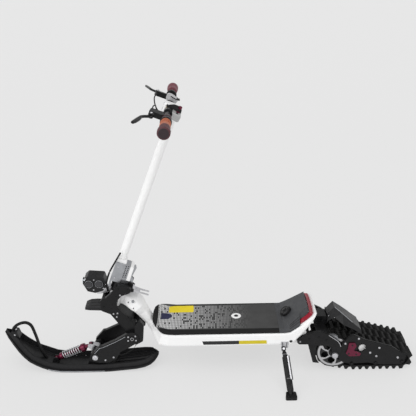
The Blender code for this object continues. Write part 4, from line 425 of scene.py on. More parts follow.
PLASTIC = dict(shade=(0.12, 40), gloss=(0.08, 70), grain=(2200, 0.00005))
CAST = dict(shade=(0.1, 60), gloss=(0.08, 150), grain=(1200, 0.00003))
FILM = dict(rough=0.45, gloss=(0.06, 90), grain=(1500, 0.00002))
PLAIN_PAINTS = {
    "white": dict(name="white_paint", colour=grey(0.92), rough=0.32, coat=0.25, shade=(0.02, 14),
                  gloss=(0.05, 60), grain=(900, 0.00002), dust=((0.55, 0.54, 0.52), 0.06, 120)),
    "black": dict(name="black_paint", colour=(0.0075, 0.0075, 0.008), rough=0.32, spec=0.22, shade=(0.18, 30),
                  gloss=(0.08, 90), grain=(1400, 0.00004), dust=(grey(0.05), 0.25, 160)),
    "plastic": dict(PLASTIC, name="black_plastic", colour=(0.012, 0.012, 0.013), rough=0.38, spec=0.28,
                    dust=(grey(0.06), 0.2, 90)),
    "tail_plastic": dict(PLASTIC, name="tail_plastic", colour=(0.05, 0.052, 0.056), rough=0.45, spec=0.3,
                         dust=(grey(0.09), 0.2, 90)),
    "rubber": dict(name="rubber", colour=grey(0.012), rough=0.66, spec=0.22, shade=(0.2, 60),
                   gloss=(0.1, 80), grain=(1600, 0.00007), dust=(grey(0.05), 0.3, 120)),
    "steel": dict(name="steel", colour=(0.6, 0.6, 0.62), rough=0.3, metal=1.0, shade=(0.1, 70),
                  gloss=(0.1, 200), grain=(900, 0.00002), streak=(1, 0.1, 1)),
    "alloy": dict(CAST, name="alloy", colour=(0.42, 0.43, 0.45), rough=0.38, metal=1.0),
    "crimson": dict(name="crimson_metal", colour=(0.14, 0.008, 0.035), rough=0.3, metal=0.7, coat=0.3,
                    shade=(0.15, 60), gloss=(0.06, 120), grain=(1500, 0.00002)),
    "red_lamp": dict(name="red_lamp", colour=(0.27, 0.003, 0.018), rough=0.16, coat=0.15, shade=(0.12, 80),
                     grain=(300, 0.00006), streak=(1, 0.2, 1)),
    "lens": dict(name="lens", colour=(0.7, 0.74, 0.78), rough=0.06, coat=0.8, shade=(0.08, 60),
                 grain=(500, 0.00004)),
    "display": dict(name="display_grey", colour=(0.36, 0.36, 0.37), rough=0.22, coat=0.4, shade=(0.05, 60),
                    grain=(900, 0.00001)),
    "control": dict(name="control_grey", colour=grey(0.4), rough=0.34, shade=(0.06, 80),
                    grain=(1800, 0.00003)),
    "yellow": dict(FILM, name="yellow_film", colour=(0.62, 0.5, 0.008), shade=(0.05, 50)),
    "bright_yellow": dict(FILM, name="yellow_patch", colour=(0.86, 0.68, 0.004), rough=0.5, shade=(0.05, 40),
                          grain=(1500, 0.00003)),
    "film": dict(FILM, name="dark_film", colour=(0.02, 0.02, 0.021), spec=0.3, shade=(0.1, 50)),
    "navy": dict(FILM, name="navy_film", colour=(0.012, 0.014, 0.06), spec=0.3, shade=(0.15, 50)),
    "brass": dict(CAST, name="brass", colour=(0.45, 0.33, 0.1), rough=0.35, metal=0.8),
    "glass": dict(name="dark_glass", colour=(0.012, 0.012, 0.016), rough=0.08, coat=0.6, shade=(0.1, 60),
                  grain=(300, 0.00001)),
    "wrap": dict(name="battery_wrap", colour=(0.03, 0.09, 0.28), rough=0.25, shade=(0.1, 30),
                 grain=(400, 0.00006)),
}
STRAPPED_PAINTS = ("display", "control")


def plain_paint(name, colour, rough, shade, grain, gloss=None, dust=None, streak=EVEN, **sheen):
    paint = Paint(name, colour, rough, **sheen).noise_colour(*shade)
    if gloss:
        paint.noise_rough(*gloss, streak)
    paint.grain(*grain, streak)
    if dust:
        paint.dust(*dust)
    return paint


def make_materials():
    paints = {key: plain_paint(**values) for key, values in PLAIN_PAINTS.items()}
    for key in STRAPPED_PAINTS:
        strapped(paints[key])
    paints["mat"] = printed_mat()
    paints["leather"] = grip_paint()
    paints["rotor"] = rotor_paint()
    return {key: paint.done() for key, paint in paints.items()}


NODE_PAINT = {
    "white": "frame_shell stem_tube stem_clamp latch_plate",
    "black": ("bottom_cover steering_collar fork_body handlebar perch_left perch_right brake_lever_left "
              "brake_lever_right front_arm_left front_arm_right ski_loop ski_mount shock_spring swing_arm "
              "fin_block track_plate_left track_plate_right kickstand_leg"),
    "rotor": "drive_wheel",
    "tail_plastic": "kick_tail_cover",
    "plastic": ("charge_port_cap front_fender headlight_case grip_collar throttle_body thumb_throttle "
                "ski_shell rear_fender rear_idler bogie_front bogie_rear"),
    "rubber": "brake_hose_front brake_hose_rear fork_cable track_belt",
    "mat": "deck_mat",
    "steel": "headlight_bracket latch_lever ski_runner ski_axle drive_axle",
    "alloy": "fold_block safety_hook kickstand_bracket motor_controller brake_caliper",
    "crimson": "shock_cylinder shock_rod belt_tensioner",
    "wrap": "battery_pack",
    "red_lamp": "tail_light",
    "lens": "headlight_lens",
    "leather": "grip_left grip_right",
    "display": "display_case",
    "control": "control_box",
}


def dress_nodes(paints):
    for paint, names in NODE_PAINT.items():
        for name in names.split():
            materials = NODES[name].data.materials
            materials.clear()
            materials.append(paints[paint])


# Small parts and trim: helpers

SHARP_ANGLE = math.radians(38)
CROSSWISE = (0, 1, 0)
BOLT_SHARES = ((0.42, 1.0), (0.62, 0.86), (0.62, 0.48), (0.3, 0.4), (0.28, 0.05))
BOLT_COUNT = 14
BOLT_SINK = 0.0002
FORWARD = Vector((-math.cos(LEAN), 0, math.sin(LEAN)))
UPWARD = Vector((math.sin(LEAN), 0, math.cos(LEAN)))


def across(perp, reach, y=0.0):
    """A point behind the steering axis and along it."""
    return Vector((AXIS_X, 0, AXIS_Z)) + UPWARD * reach - FORWARD * perp + Vector((0, y, 0))


def bar_point(y, ahead=0.0, up=0.0):
    """A point at a place along the handlebar, ahead of its middle line and above it."""
    return Vector((BAR_X, y, BAR_Z)) + FORWARD * ahead + UPWARD * up


def add_piece(name, shape, body, paint, smooth=True):
    """Turns a shape into a named piece, which rides on a body when one is given."""
    mesh = bpy.data.meshes.new(name)
    bmesh.ops.recalc_face_normals(shape, faces=shape.faces)
    shape.to_mesh(mesh)
    shape.free()
    mesh.materials.append(PAINTS[paint])
    if smooth:
        mesh.shade_smooth()
        mesh.set_sharp_from_angle(angle=SHARP_ANGLE)
    piece = link_object(name, mesh)
    if body:
        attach(piece, body)
    return piece


def side_frame(direction):
    """Three unit directions square to each other, of which the first is the one given."""
    direction = Vector(direction).normalized()
    helper = Vector((0, 0, 1)) if abs(direction.z) < 0.9 else Vector((1, 0, 0))
    side = direction.cross(helper).normalized()
    return direction, side, direction.cross(side)


def skin_rings(shape, rings, closed=False):
    """Joins rings of points with faces, capping the ends unless the run is closed."""
    made = [[shape.verts.new(point) for point in ring] for ring in rings]
    count = len(made[0])
    last = len(made) if closed else len(made) - 1
    for index in range(last):
        here = made[index]
        beyond = made[(index + 1) % len(made)]
        for step in range(count):
            after = (step + 1) % count
            shape.faces.new((here[step], here[after], beyond[after], beyond[step]))
    if not closed:
        shape.faces.new(list(reversed(made[0])))
        shape.faces.new(made[-1])


def circle(centre, first, second, radius, count, shift=0.0):
    """Points round a centre, in the plane of two unit directions."""
    angles = [2 * math.pi * (step + shift) / count for step in range(count)]
    return [centre + (first * math.cos(angle) + second * math.sin(angle)) * radius for angle in angles]


def add_turned(shape, place, direction, profile, count=16):
    """A turned solid: its profile lists (distance along, radius) pairs."""
    direction, side, up = side_frame(direction)
    skin_rings(shape, [circle(Vector(place) + direction * along, side, up, radius, count, 0.5)
                       for along, radius in profile])


def add_ring(shape, place, direction, radius, thick, count=24, sides=6):
    """A round-sectioned ring."""
    direction, side, up = side_frame(direction)
    rings = []
    for step in range(count):
        angle = 2 * math.pi * step / count
        out = side * math.cos(angle) + up * math.sin(angle)
        rings.append(circle(Vector(place) + out * radius, out, direction, thick, sides))
    skin_rings(shape, rings, closed=True)


def add_tube(shape, points, radius, sides=6):
    points = [Vector(point) for point in points]
    rings = []
    for index, point in enumerate(points):
        along = points[min(index + 1, len(points) - 1)] - points[max(index - 1, 0)]
        _, side, up = side_frame(along)
        rings.append(circle(point, side, up, radius, sides))
    skin_rings(shape, rings)


def add_plate(shape, outline, low, high, axes=(0, 2, 1), edge=0.0003):
    """A flat plate with an eased edge: its outline lies along two axes and its thickness along the third."""
    middle = [sum(point[index] for point in outline) / len(outline) for index in (0, 1)]
    reach = [max(abs(point[index] - middle[index]) for point in outline) for index in (0, 1)]
    rings = []
    for height, inset in ((low, 0.0), (high - math.copysign(edge, high - low), 0.0), (high, edge)):
        ring = []
        for place in outline:
            point = Vector()
            point[axes[2]] = height
            for index in (0, 1):
                offset = place[index] - middle[index]
                point[axes[index]] = middle[index] + offset * (1.0 - inset / reach[index])
            ring.append(point)
        rings.append(ring)
    skin_rings(shape, rings)


def add_knobs(name, body, paint, places, profile, count=16):
    """One turned form at several places, each given with its direction."""
    shape = bmesh.new()
    for place, direction in places:
        add_turned(shape, place, direction, profile, count)
    add_piece(name, shape, body, paint)


def add_bolts(name, places, body, paint="steel"):
    """Low round heads with a hollow middle, each given by its place, its outward direction and its radius."""
    shape = bmesh.new()
    for place, direction, radius in places:
        add_turned(shape, place, direction, bolt_profile(radius), BOLT_COUNT)
    add_piece(name, shape, body, paint)


def bolt_profile(radius):
    return [(-2 * BOLT_SINK, radius)] + [(radius * along, radius * reach) for along, reach in BOLT_SHARES]


def add_rings(name, body, paint, rings):
    """Rings, each given by its centre, axis, radius, thickness and count of steps."""
    shape = bmesh.new()
    for ring in rings:
        add_ring(shape, *ring)
    add_piece(name, shape, body, paint)


def add_plates(name, body, paint, plates, smooth=False, **form):
    """Plates, each given by its outline and its two faces."""
    shape = bmesh.new()
    for outline, low, high in plates:
        add_plate(shape, outline, low, high, **form)
    add_piece(name, shape, body, paint, smooth)


def add_lines(name, body, paint, lines, sides=6, signs=SIDES):
    """Thin round lines, each given by its radius and points, on both sides unless told otherwise."""
    shape = bmesh.new()
    for sign in signs:
        for radius, points in lines:
            add_tube(shape, [(x, sign * y, z) for x, y, z in points], radius, sides)
    add_piece(name, shape, body, paint)


def both_sides(points, face, *radius):
    """Places left and right of the middle plane, with their outward direction and a bolt's radius."""
    return [((x, sign * face, z), (0, sign, 0), *radius) for x, z in points for sign in SIDES]


# Deck: films sunk a little into the surface, ribs on the kick tail's flanks, ring and knob on the charge cap

FILM_SINK = 0.0002
STRIPE_IN = DECK_HALF - FILM_SINK
STRIPE_OUT = DECK_HALF + 0.0003
PATCH_PROUD = 0.0004
STRIPES = (
    ("side_stripe_dark", "film", [(-0.024, 0.172), (-0.018, 0.156), (0.121, 0.156), (0.121, 0.172)]),
    ("side_stripe_yellow", "yellow", [(0.1212, 0.156), (0.231, 0.156), (0.229, 0.172), (0.1212, 0.172)]))
MAT_PATCHES = (
    ("mat_patch_yellow", "bright_yellow",
     [(-0.16, 0.04), (-0.156, 0.036), (-0.062, 0.036), (-0.058, 0.04), (-0.058, 0.082), (-0.062, 0.086),
      (-0.156, 0.086), (-0.16, 0.082)]),
    ("mat_patch_dark", "navy",
     [(-0.19, -0.011), (-0.16, -0.011), (-0.147, 0.002), (-0.146, 0.014), (-0.152, 0.024), (-0.164, 0.03),
      (-0.19, 0.034)]))
DISC_X = 0.115
DISC_Y = 0.003
MAT_DISCS = (("mat_disc", "white", -FILM_SINK, 0.0006, 0.0195, 32),
             ("mat_disc_centre", "film", PATCH_PROUD, 0.0004, 0.0085, 24))
TAIL_RIB_RADIUS = 0.0011
RIB_SHARES = (0.28, 0.5, 0.72)
RIB_FLANK = (((0.318, 0.107, 0.2078), (0.0, -0.0221, 0.0228)),
             ((0.34, 0.1048, 0.2229), (0.0, -0.0298, 0.0256)),
             ((0.36, 0.1028, 0.2364), (0.0, -0.0358, 0.0284)))
CAP_PLACE = (0.318, 0, 0.2306)
CAP_NORMAL = (-0.6317, 0, 0.7752)
CAP_HEIGHT = 0.0147
CAP_RING = (0.0165, 0.0014, 28, 8)
CAP_KNOB = [(-0.001, 0.0095), (0.002, 0.009), (0.0032, 0.006)]


def add_deck_trim():
    for name, paint, outline in STRIPES:
        stripes = [(outline, sign * STRIPE_IN, sign * STRIPE_OUT) for sign in SIDES]
        add_plates(name, "frame", paint, stripes, edge=0.0001)
    for name, paint, outline in MAT_PATCHES:
        add_plates(name, "frame", paint, [(outline, MAT_TOP - FILM_SINK, MAT_TOP + PATCH_PROUD)],
                   axes=(0, 1, 2), edge=0.0002)
    for name, paint, rise, height, radius, count in MAT_DISCS:
        profile = [(0.0, radius), (height, radius), (height + 0.0002, radius - 0.0005)]
        place = (DISC_X, DISC_Y, MAT_TOP + rise)
        add_knobs(name, "frame", paint, [(place, (0, 0, 1))], profile, count)
    ribs = [[Vector(foot) + Vector(slope) * share for foot, slope in RIB_FLANK] for share in RIB_SHARES]
    add_lines("kick_tail_ribs", "frame", "film", [(TAIL_RIB_RADIUS, rib) for rib in ribs])
    normal = Vector(CAP_NORMAL)
    knob = Vector(CAP_PLACE) + normal * CAP_HEIGHT
    shape = bmesh.new()
    add_ring(shape, knob, normal, *CAP_RING)
    add_turned(shape, knob, normal, CAP_KNOB, 20)
    add_piece("charge_cap_trim", shape, "frame", "plastic")


# Neck, fork legs and front arms: bolts, dark lines along the legs' folded edges, pale lines along the arms'
# edges that are painted highlights, caps and the thin tether at the left arm

NECK_FACE = 0.0415
NECK_FACE_FRONT = 0.038
NECK_PLUG = (-0.293, 0.318)
NECK_SCREW = (-0.293, 0.286)
NECK_SCREW_FRONT = (-0.312, 0.312)
LEG_FACE = LEG_OUTER - BOLT_SINK
ARM_FACE = ARM_OUTER - BOLT_SINK
LEG_BOLTS = [(-0.372, 0.268), (-0.36, 0.254), (-0.356, 0.27), (-0.3405, 0.352)]
LEG_BOLTS_DARK = [(-0.408, 0.3), (-0.31, 0.374), (-0.346, 0.378)]
LEG_FRONT_EDGE = [(-0.417, 0.05, 0.284), (-0.383, 0.0503, 0.267), (-0.357, 0.0503, 0.227),
                  (-0.331, 0.0503, 0.193), (-0.319, 0.05, 0.145)]
LEG_REAR_EDGE = [(-0.35, 0.05, 0.328), (-0.359, 0.0503, 0.301), (-0.301, 0.0503, 0.228),
                 (-0.292, 0.05, 0.235)]
KNEE_BOLTS = [(-0.319, 0.1685), (-0.32, 0.151), (-0.29, 0.1715), (-0.289, 0.152)]
ARM_BOLTS = [(-0.384, 0.073), (-0.418, 0.06)]
# Path of the pale line painted as a highlight along the front arms' edges
ARM_HIGHLIGHT_LINE = [(-0.46, 0.0663, 0.091), (-0.438, 0.0663, 0.117), (-0.426, 0.0663, 0.1195),
            (-0.372, 0.0663, 0.1455), (-0.33, 0.0663, 0.17)]
KNEE_RING_Y = 0.069
AXLE_RING_Y = 0.0715
AXLE_CAP_Y = 0.074
AXLE_CAP = [(0.0, 0.0052), (0.0016, 0.0048), (0.0024, 0.003)]
TETHER = [(-0.286, -0.065, 0.154), (-0.285, -0.0665, 0.148), (-0.2905, -0.065, 0.129),
          (-0.304, -0.064, 0.107), (-0.337, -0.064, 0.0872), (-0.354, -0.0645, 0.0815),
          (-0.36, -0.064, 0.086)]


def add_neck_trim():
    add_bolts("neck_plugs", both_sides([NECK_PLUG], NECK_FACE, 0.0062), "frame", "alloy")
    add_bolts("neck_screws", both_sides([NECK_SCREW], NECK_FACE, 0.0026)
              + both_sides([NECK_SCREW_FRONT], NECK_FACE_FRONT, 0.0026), "frame", "black")
    add_bolts("leg_bolts", both_sides(LEG_BOLTS, LEG_FACE, 0.0036), "steering")
    add_bolts("leg_bolts_dark", both_sides(LEG_BOLTS_DARK, LEG_FACE, 0.0034), "steering", "black")
    add_lines("leg_edges", "steering", "black", [(0.0012, LEG_FRONT_EDGE), (0.001, LEG_REAR_EDGE)])
    add_bolts("knee_bolts", both_sides(KNEE_BOLTS, ARM_FACE, 0.0036), "front_arms")
    add_bolts("arm_bolts", both_sides(ARM_BOLTS, ARM_FACE, 0.004), "front_arms")
    shape = bmesh.new()
    for sign in SIDES:
        add_ring(shape, (KNEE_X, sign * KNEE_RING_Y, KNEE_Z), CROSSWISE, 0.0062, 0.0013, 20)
        add_ring(shape, (AXLE_X, sign * AXLE_RING_Y, AXLE_Z), CROSSWISE, 0.0105, 0.0012, 20)
        add_turned(shape, (AXLE_X, sign * AXLE_CAP_Y, AXLE_Z), (0, sign, 0), AXLE_CAP, 6)
    add_piece("arm_caps", shape, "front_arms", "steel")
    # Pale alloy lines along the front arms' edges: painted highlights where the edges catch the light
    add_lines("arm_edge_highlights", "front_arms", "alloy", [(0.0011, ARM_HIGHLIGHT_LINE)])
    add_lines("arm_tether", "front_arms", "rubber", [(0.0014, TETHER)], 8, AS_GIVEN)


# Fold block and steering collar: rows of studs on the block's flanks, bolts and rings

STUD_FACE = 0.024
STUD_ROWS = 7
STUD_COLUMNS = 2
STUD_START = 0.042
STUD_ROW_PITCH = 0.008
STUD_COLUMN_PITCH = 0.0085
STUD_STAGGER = 0.003
STUD = [(-0.0004, 0.0026), (0.0006, 0.0026), (0.0009, 0.0016)]
BLOCK_BOLTS = ((-0.03, 0.03), (-0.03, 0.08))
BLOCK_BOLT_FACE = 0.0268
COLLAR_BOLTS = ((0.022, 0.004), (0.04, -0.004))
COLLAR_BOLT_FACE = 0.0263
COLLAR_RINGS = ((-0.0285, 0.0322, 0.0011, 32), (0.0095, 0.0322, 0.001, 32))
FOOT_RINGS = ((0.0, 0.0176, 0.0014, 28, 8), (0.006, 0.0174, 0.0009, 28))
STEM_FOOT = 0.116


def add_block_trim():
    studs = [(across(STUD_COLUMN_PITCH * column, STUD_START + STUD_ROW_PITCH * row + STUD_STAGGER * column,
                     sign * STUD_FACE), (0, sign, 0))
             for sign in SIDES for row in range(STUD_ROWS) for column in range(STUD_COLUMNS)]
    add_knobs("block_studs", "stem", "film", studs, STUD, 10)
    add_bolts("block_bolts", [(across(perp, reach, sign * BLOCK_BOLT_FACE), (0, sign, 0), 0.0038)
                              for perp, reach in BLOCK_BOLTS for sign in SIDES], "stem")
    add_bolts("collar_bolts", [(across(perp, reach, sign * COLLAR_BOLT_FACE), (0, sign, 0), 0.003)
                               for perp, reach in COLLAR_BOLTS for sign in SIDES], "steering")
    add_rings("collar_rings", "steering", "black",
              [(across(0.0, reach), UPWARD, *ring) for reach, *ring in COLLAR_RINGS])
    foot = across(0.0, STEM_FOOT) + FORWARD * STEM_OFFSET
    add_rings("stem_foot_rings", "stem", "white",
              [(foot + UPWARD * reach, UPWARD, *ring) for reach, *ring in FOOT_RINGS])


# Headlight and fender stub, with pale rings painted as highlights on the lamp faces

LAMP_HIGHLIGHT_Y = LAMP_HALF + 0.0042
LAMP_FACE_Y = LAMP_HALF + 0.0038
LAMP_HIGHLIGHT_RINGS = ((0.0152, 0.0007, 28), (0.007, 0.0005, 20))
LAMP_FACE = [(0.0, 0.012), (0.001, 0.0105), (0.0018, 0.006), (0.002, 0.001)]
LAMP_SCREW = [(0.0, 0.003), (0.0008, 0.0028), (0.0014, 0.0016)]
LAMP_SCREWS = ((-0.4745, 0.4135), (-0.47, 0.396), (-0.442, 0.408), (-0.407, 0.37), (-0.446, 0.364))
GLINT = [(-0.001, 0.0036), (0.0012, 0.0034), (0.002, 0.0018)]
GLINT_PLACE = (-0.479, 0.0262, 0.409)
GLINT_FACING = (-0.45, 0.85, 0.35)
LAMP_FRONT = -0.4868
FIN_Y = (-0.02, -0.012, -0.004, 0.004, 0.012, 0.02)
FIN_LINE = ((-0.464, 0.424), (-0.44, 0.4222), (-0.406, 0.419))
FENDER_RIB_Y = (-0.022, 0.0, 0.022)
FENDER_LINE = ((-0.424, 1.0, 0.2912), (-0.445, 1.0, 0.2921), (-0.468, 1.0, 0.2912), (-0.48, 0.9, 0.2878))


def add_headlight_trim():
    # Pale alloy rings on the lamp faces: painted ring highlights on the glossy lenses
    add_rings("lamp_highlight_rings", "steering", "alloy",
              [((x, sign * LAMP_HIGHLIGHT_Y, LAMP_Z), CROSSWISE, *ring) for sign in SIDES for x in LAMP_X
               for ring in LAMP_HIGHLIGHT_RINGS])
    lamps = both_sides([(x, LAMP_Z) for x in LAMP_X], LAMP_FACE_Y)
    add_knobs("lamp_faces", "steering", "glass", lamps, LAMP_FACE, 24)
    screws = both_sides(LAMP_SCREWS, LAMP_HALF - 2 * BOLT_SINK)
    add_knobs("lamp_screws", "steering", "steel", screws, LAMP_SCREW, 12)
    glints = [[Vector(item) * Vector((1, sign, 1)) for item in (GLINT_PLACE, GLINT_FACING)] for sign in SIDES]
    add_knobs("lamp_glints", "steering", "lens", glints, GLINT, 14)
    add_rings("lamp_front_ring", "steering", "black",
              [((LAMP_FRONT, 0, LAMP_Z), (1, 0, 0), 0.0145, 0.0013, 28)])
    add_lines("lamp_fins", "steering", "plastic",
              [(0.0012, [(x, y, z) for x, z in FIN_LINE]) for y in FIN_Y], signs=AS_GIVEN)
    add_lines("fender_ribs", "steering", "plastic",
              [(0.0009, [(x, y * spread, z) for x, spread, z in FENDER_LINE]) for y in FENDER_RIB_Y],
              signs=AS_GIVEN)


# Handlebar: trim of the display, clamp, control box, throttle and grips, and the brake levers' pins

DISPLAY_PLACE = (0.065, 0.0042, -0.0098)
DISPLAY_FOOT = 0.016
SCREEN_RISE = 0.0236
ARC_RISE = 0.0225
DISPLAY_FACING = (0.55, 0, 0.84)
DISPLAY_REAR = (0.84, 0, -0.55)
DISPLAY_SCREEN = [(0.0, 0.0165), (0.0008, 0.0162), (0.0011, 0.015)]
ARC_START = -75
ARC_SWEEP = 190
ARC_STEPS = 14
ARC_RADIUS = 0.0212
TAB_FACES = (0.056, 0.068)
DISPLAY_TAB = [(-0.1, 1.1), (-0.086, 1.096), (-0.085, 1.0905), (-0.1, 1.092)]
BAND_Y = (-0.03, -0.035)
CLAMP_SLOT = ((0.0065, 0.0165), (0.01, 0.0165), (0.01, -0.015), (0.0065, -0.015))
SLOT_IN = 0.0215
SLOT_OUT = 0.0224
CLAMP_BOLTS = [(sign * 0.014, 0.0198, rise) for sign in SIDES for rise in (-0.011, 0.011)]
CONTROL_PLACE = (-0.064, -0.027, -0.004)
CONTROL_TILT = math.radians(28)
CONTROL_TOP = 0.0126
CONTROL_REAR = 0.0176
RED_Y = 0.0115
RED_BACK = 0.004
SMALL_Y = (-0.002, -0.013)
SMALL_BACK = 0.002
REAR_Y = -0.004
BEZEL_FACES = (-0.0408, -0.044)
BEZEL_PLACE = ((-0.08, -0.044, 1.0905), (0.35, -0.2, 0.9))
RED_BUTTON = [(0.0, 0.0078), (0.0016, 0.0075), (0.0024, 0.0055)]
SMALL_BUTTON = [(0.0, 0.0042), (0.0012, 0.004), (0.0018, 0.0028)]
REAR_BUTTON = [(0.0, 0.006), (0.001, 0.0058), (0.0016, 0.004)]
BEZEL_BUTTON = [(-0.004, 0.0068), (0.003, 0.0066), (0.0042, 0.0045)]
BEZEL = [(-0.129, 1.1005), (-0.127, 1.094), (-0.105, 1.07), (-0.08, 1.064), (-0.0755, 1.08),
         (-0.076, 1.092), (-0.1, 1.102)]
THROTTLE_RINGS = ((-0.165, 0.0163, 0.0011), (-0.14, 0.015, 0.0011))
THROTTLE_PLACE = (-0.172, -0.016, -0.002)
THROTTLE_DOT = [(-0.0006, 0.0026), (0.0008, 0.0024), (0.0012, 0.0014)]
RIDGE_START = 0.21
RIDGE_PITCH = 0.006
RIDGE_COUNT = 8
RIDGE_RADIUS = 0.017
RIDGE_TAPER = 0.02
RIDGE_THICK = 0.0007
GRIP_END_Y = 0.3262
GRIP_CAP = [(0.0, 0.013), (0.0004, 0.0128), (0.0007, 0.011)]
LEVER_PIN_RISE = 0.009


def bar_ring(y, radius, thick, count=28, sides=6):
    """A ring round the handlebar at a place along it."""
    return bar_point(y), CROSSWISE, radius, thick, count, sides


def add_display_trim():
    face = Vector(DISPLAY_FACING).normalized()
    foot = bar_point(*DISPLAY_PLACE) + face * DISPLAY_FOOT
    screen = foot + face * SCREEN_RISE
    add_knobs("display_screen", "stem", "display", [(screen, face)], DISPLAY_SCREEN, 28)
    arc = []
    for step in range(ARC_STEPS + 1):
        angle = math.radians(ARC_START + ARC_SWEEP * step / ARC_STEPS)
        out = Vector(DISPLAY_REAR) * math.cos(angle) + Vector((0, -1, 0)) * math.sin(angle)
        arc.append(foot + face * ARC_RISE + out * ARC_RADIUS)
    add_lines("display_arc", "stem", "film", [(0.0022, arc)], 8, AS_GIVEN)
    add_plates("display_tab", "stem", "film", [(DISPLAY_TAB, *TAB_FACES)], smooth=True)


def add_clamp_trim():
    add_rings("bar_band", "stem", "brass", [bar_ring(y, 0.0102, 0.0022, 24, 8) for y in BAND_Y])
    corners = [bar_point(0, ahead, rise) for ahead, rise in CLAMP_SLOT]
    outline = [(corner.x, corner.z) for corner in corners]
    add_plates("clamp_slots", "stem", "film", [(outline, sign * SLOT_IN, sign * SLOT_OUT) for sign in SIDES])
    add_bolts("clamp_bolts", [(bar_point(*place), FORWARD, 0.0034) for place in CLAMP_BOLTS], "stem")


def add_control_trim():
    box = bar_point(*CONTROL_PLACE)
    rise = Vector((math.sin(CONTROL_TILT), 0, math.cos(CONTROL_TILT)))
    along = Vector((math.cos(CONTROL_TILT), 0, -math.sin(CONTROL_TILT)))
    top = box + rise * CONTROL_TOP
    red = top + Vector((0, RED_Y, 0)) + along * RED_BACK
    add_knobs("control_button_red", "stem", "crimson", [(red, rise)], RED_BUTTON, 18)
    add_plates("control_bezel", "stem", "film", [(BEZEL, *BEZEL_FACES)], smooth=True, edge=0.0012)
    add_knobs("bezel_button", "stem", "crimson", [BEZEL_PLACE], BEZEL_BUTTON, 18)
    shape = bmesh.new()
    for y in SMALL_Y:
        add_turned(shape, top + Vector((0, y, 0)) + along * SMALL_BACK, rise, SMALL_BUTTON, 16)
    add_turned(shape, box + along * CONTROL_REAR + Vector((0, REAR_Y, 0)), along, REAR_BUTTON, 18)
    add_piece("control_buttons", shape, "stem", "film")


def lever_pin(sign):
    """The top of a brake lever's pin, which stands square to the lever's plane."""
    tilt = math.atan(LEVER_TILT)
    return bar_point(sign * (LEVER_Y + LEVER_PIN_RISE * math.sin(tilt)), LEVER_AHEAD,
                     LEVER_UP + LEVER_PIN_RISE * math.cos(tilt))


def add_bar_trim():
    add_display_trim()
    add_clamp_trim()
    add_control_trim()
    add_rings("throttle_rings", "stem", "crimson", [bar_ring(*ring) for ring in THROTTLE_RINGS])
    dot = bar_point(*THROTTLE_PLACE)
    add_knobs("throttle_dot", "stem", "lens", [(dot, -FORWARD)], THROTTLE_DOT, 12)
    steps = [RIDGE_PITCH * step for step in range(RIDGE_COUNT)]
    add_rings("grip_ridges", "stem", "leather",
              [bar_ring(sign * (RIDGE_START + out), RIDGE_RADIUS + RIDGE_TAPER * out, RIDGE_THICK)
               for sign in SIDES for out in steps])
    add_knobs("grip_end_caps", "stem", "film",
              [(bar_point(sign * GRIP_END_Y), (0, sign, 0)) for sign in SIDES], GRIP_CAP, 24)
    for side, sign in (("left", -1), ("right", 1)):
        add_bolts("lever_pivot_" + side, [(lever_pin(sign), UPWARD, 0.0042)], "stem")


# Ski: ribs along its channels, pale lines painted as highlights along its lower edges, and bolts

RIB_STEPS = 10
RIB_RADIUS = 0.0022
RIB_RISE = 0.001
SKI_RIBS = ((0.01, -0.392, -0.224), (0.024, -0.392, -0.228), (0.036, -0.38, -0.246),
            (0.024, -0.76, -0.65), (0.036, -0.735, -0.64))
# Place of the pale lines painted as highlights along the ski's lower edges
SKI_HIGHLIGHT_Y = 0.0662
SKI_HIGHLIGHT_RISE = 0.004
SKI_HIGHLIGHT_RADIUS = 0.002
SKI_HIGHLIGHT_X = (-0.655, -0.645, -0.606, -0.56, -0.525, -0.484, -0.444, -0.425)
SKI_BOLT_X = (-0.6, -0.56, -0.52, -0.41)
SKI_BOLT_Y = 0.042
SKI_BOLT_RISE = 0.0004
LOOP_FOOT = (-0.786, 0.156)
LOOP_Y = 0.0178
SKI_TIP_BOLT = ((-0.784, 0.0, 0.1704), (-0.3, 0, 0.95), 0.0045)


def ski_floor(x):
    """Height of the channel's floor, a fixed height above the ski's underside."""
    for start, end in zip(SKI_LINE, SKI_LINE[1:]):
        if start[0] <= x <= end[0]:
            return start[1] + (end[1] - start[1]) * (x - start[0]) / (end[0] - start[0]) + SKI_FLOOR
    return SKI_FLOOR


def ski_rib(y, start, end):
    run = [start + (end - start) * step / RIB_STEPS for step in range(RIB_STEPS + 1)]
    return RIB_RADIUS, [(x, y, ski_floor(x) + RIB_RISE) for x in run]


def add_ski_trim():
    add_lines("ski_ribs", "ski", "plastic", [ski_rib(*rib) for rib in SKI_RIBS], 8)
    # Pale alloy lines low on the ski's sides: painted highlights along its edges
    highlight_line = [(x, SKI_HIGHLIGHT_Y, ski_floor(x) - SKI_FLOOR + SKI_HIGHLIGHT_RISE) for x in SKI_HIGHLIGHT_X]
    add_lines("ski_edge_highlights", "ski", "alloy", [(SKI_HIGHLIGHT_RADIUS, highlight_line)], 8)
    places = [(x, sign * SKI_BOLT_Y, ski_floor(x) + SKI_BOLT_RISE) for x in SKI_BOLT_X for sign in SIDES]
    add_bolts("ski_bolts", [SKI_TIP_BOLT] + [(place, (0, 0, 1), 0.0036) for place in places], "ski")
    add_bolts("loop_bolts", both_sides([LOOP_FOOT], LOOP_Y, 0.0038), "ski")


# Rear arm, hood and track frame: caps, nuts, dark lines along folded edges, pale lines painted as highlights
# on the arm's and the hood's edges, bolts and rollers

SWING_PIVOT = (0.362, 0.16)
SWING_FACE = SWING_OUTER - BOLT_SINK
PIVOT_SCREW_Y = SWING_OUTER + 0.003
PLATE_FACE = PLATE_OUTER - 0.0001
HUB_Y = 0.1128
HUB_NUT = [(0.0, 0.0062), (0.0018, 0.006), (0.0026, 0.0042)]
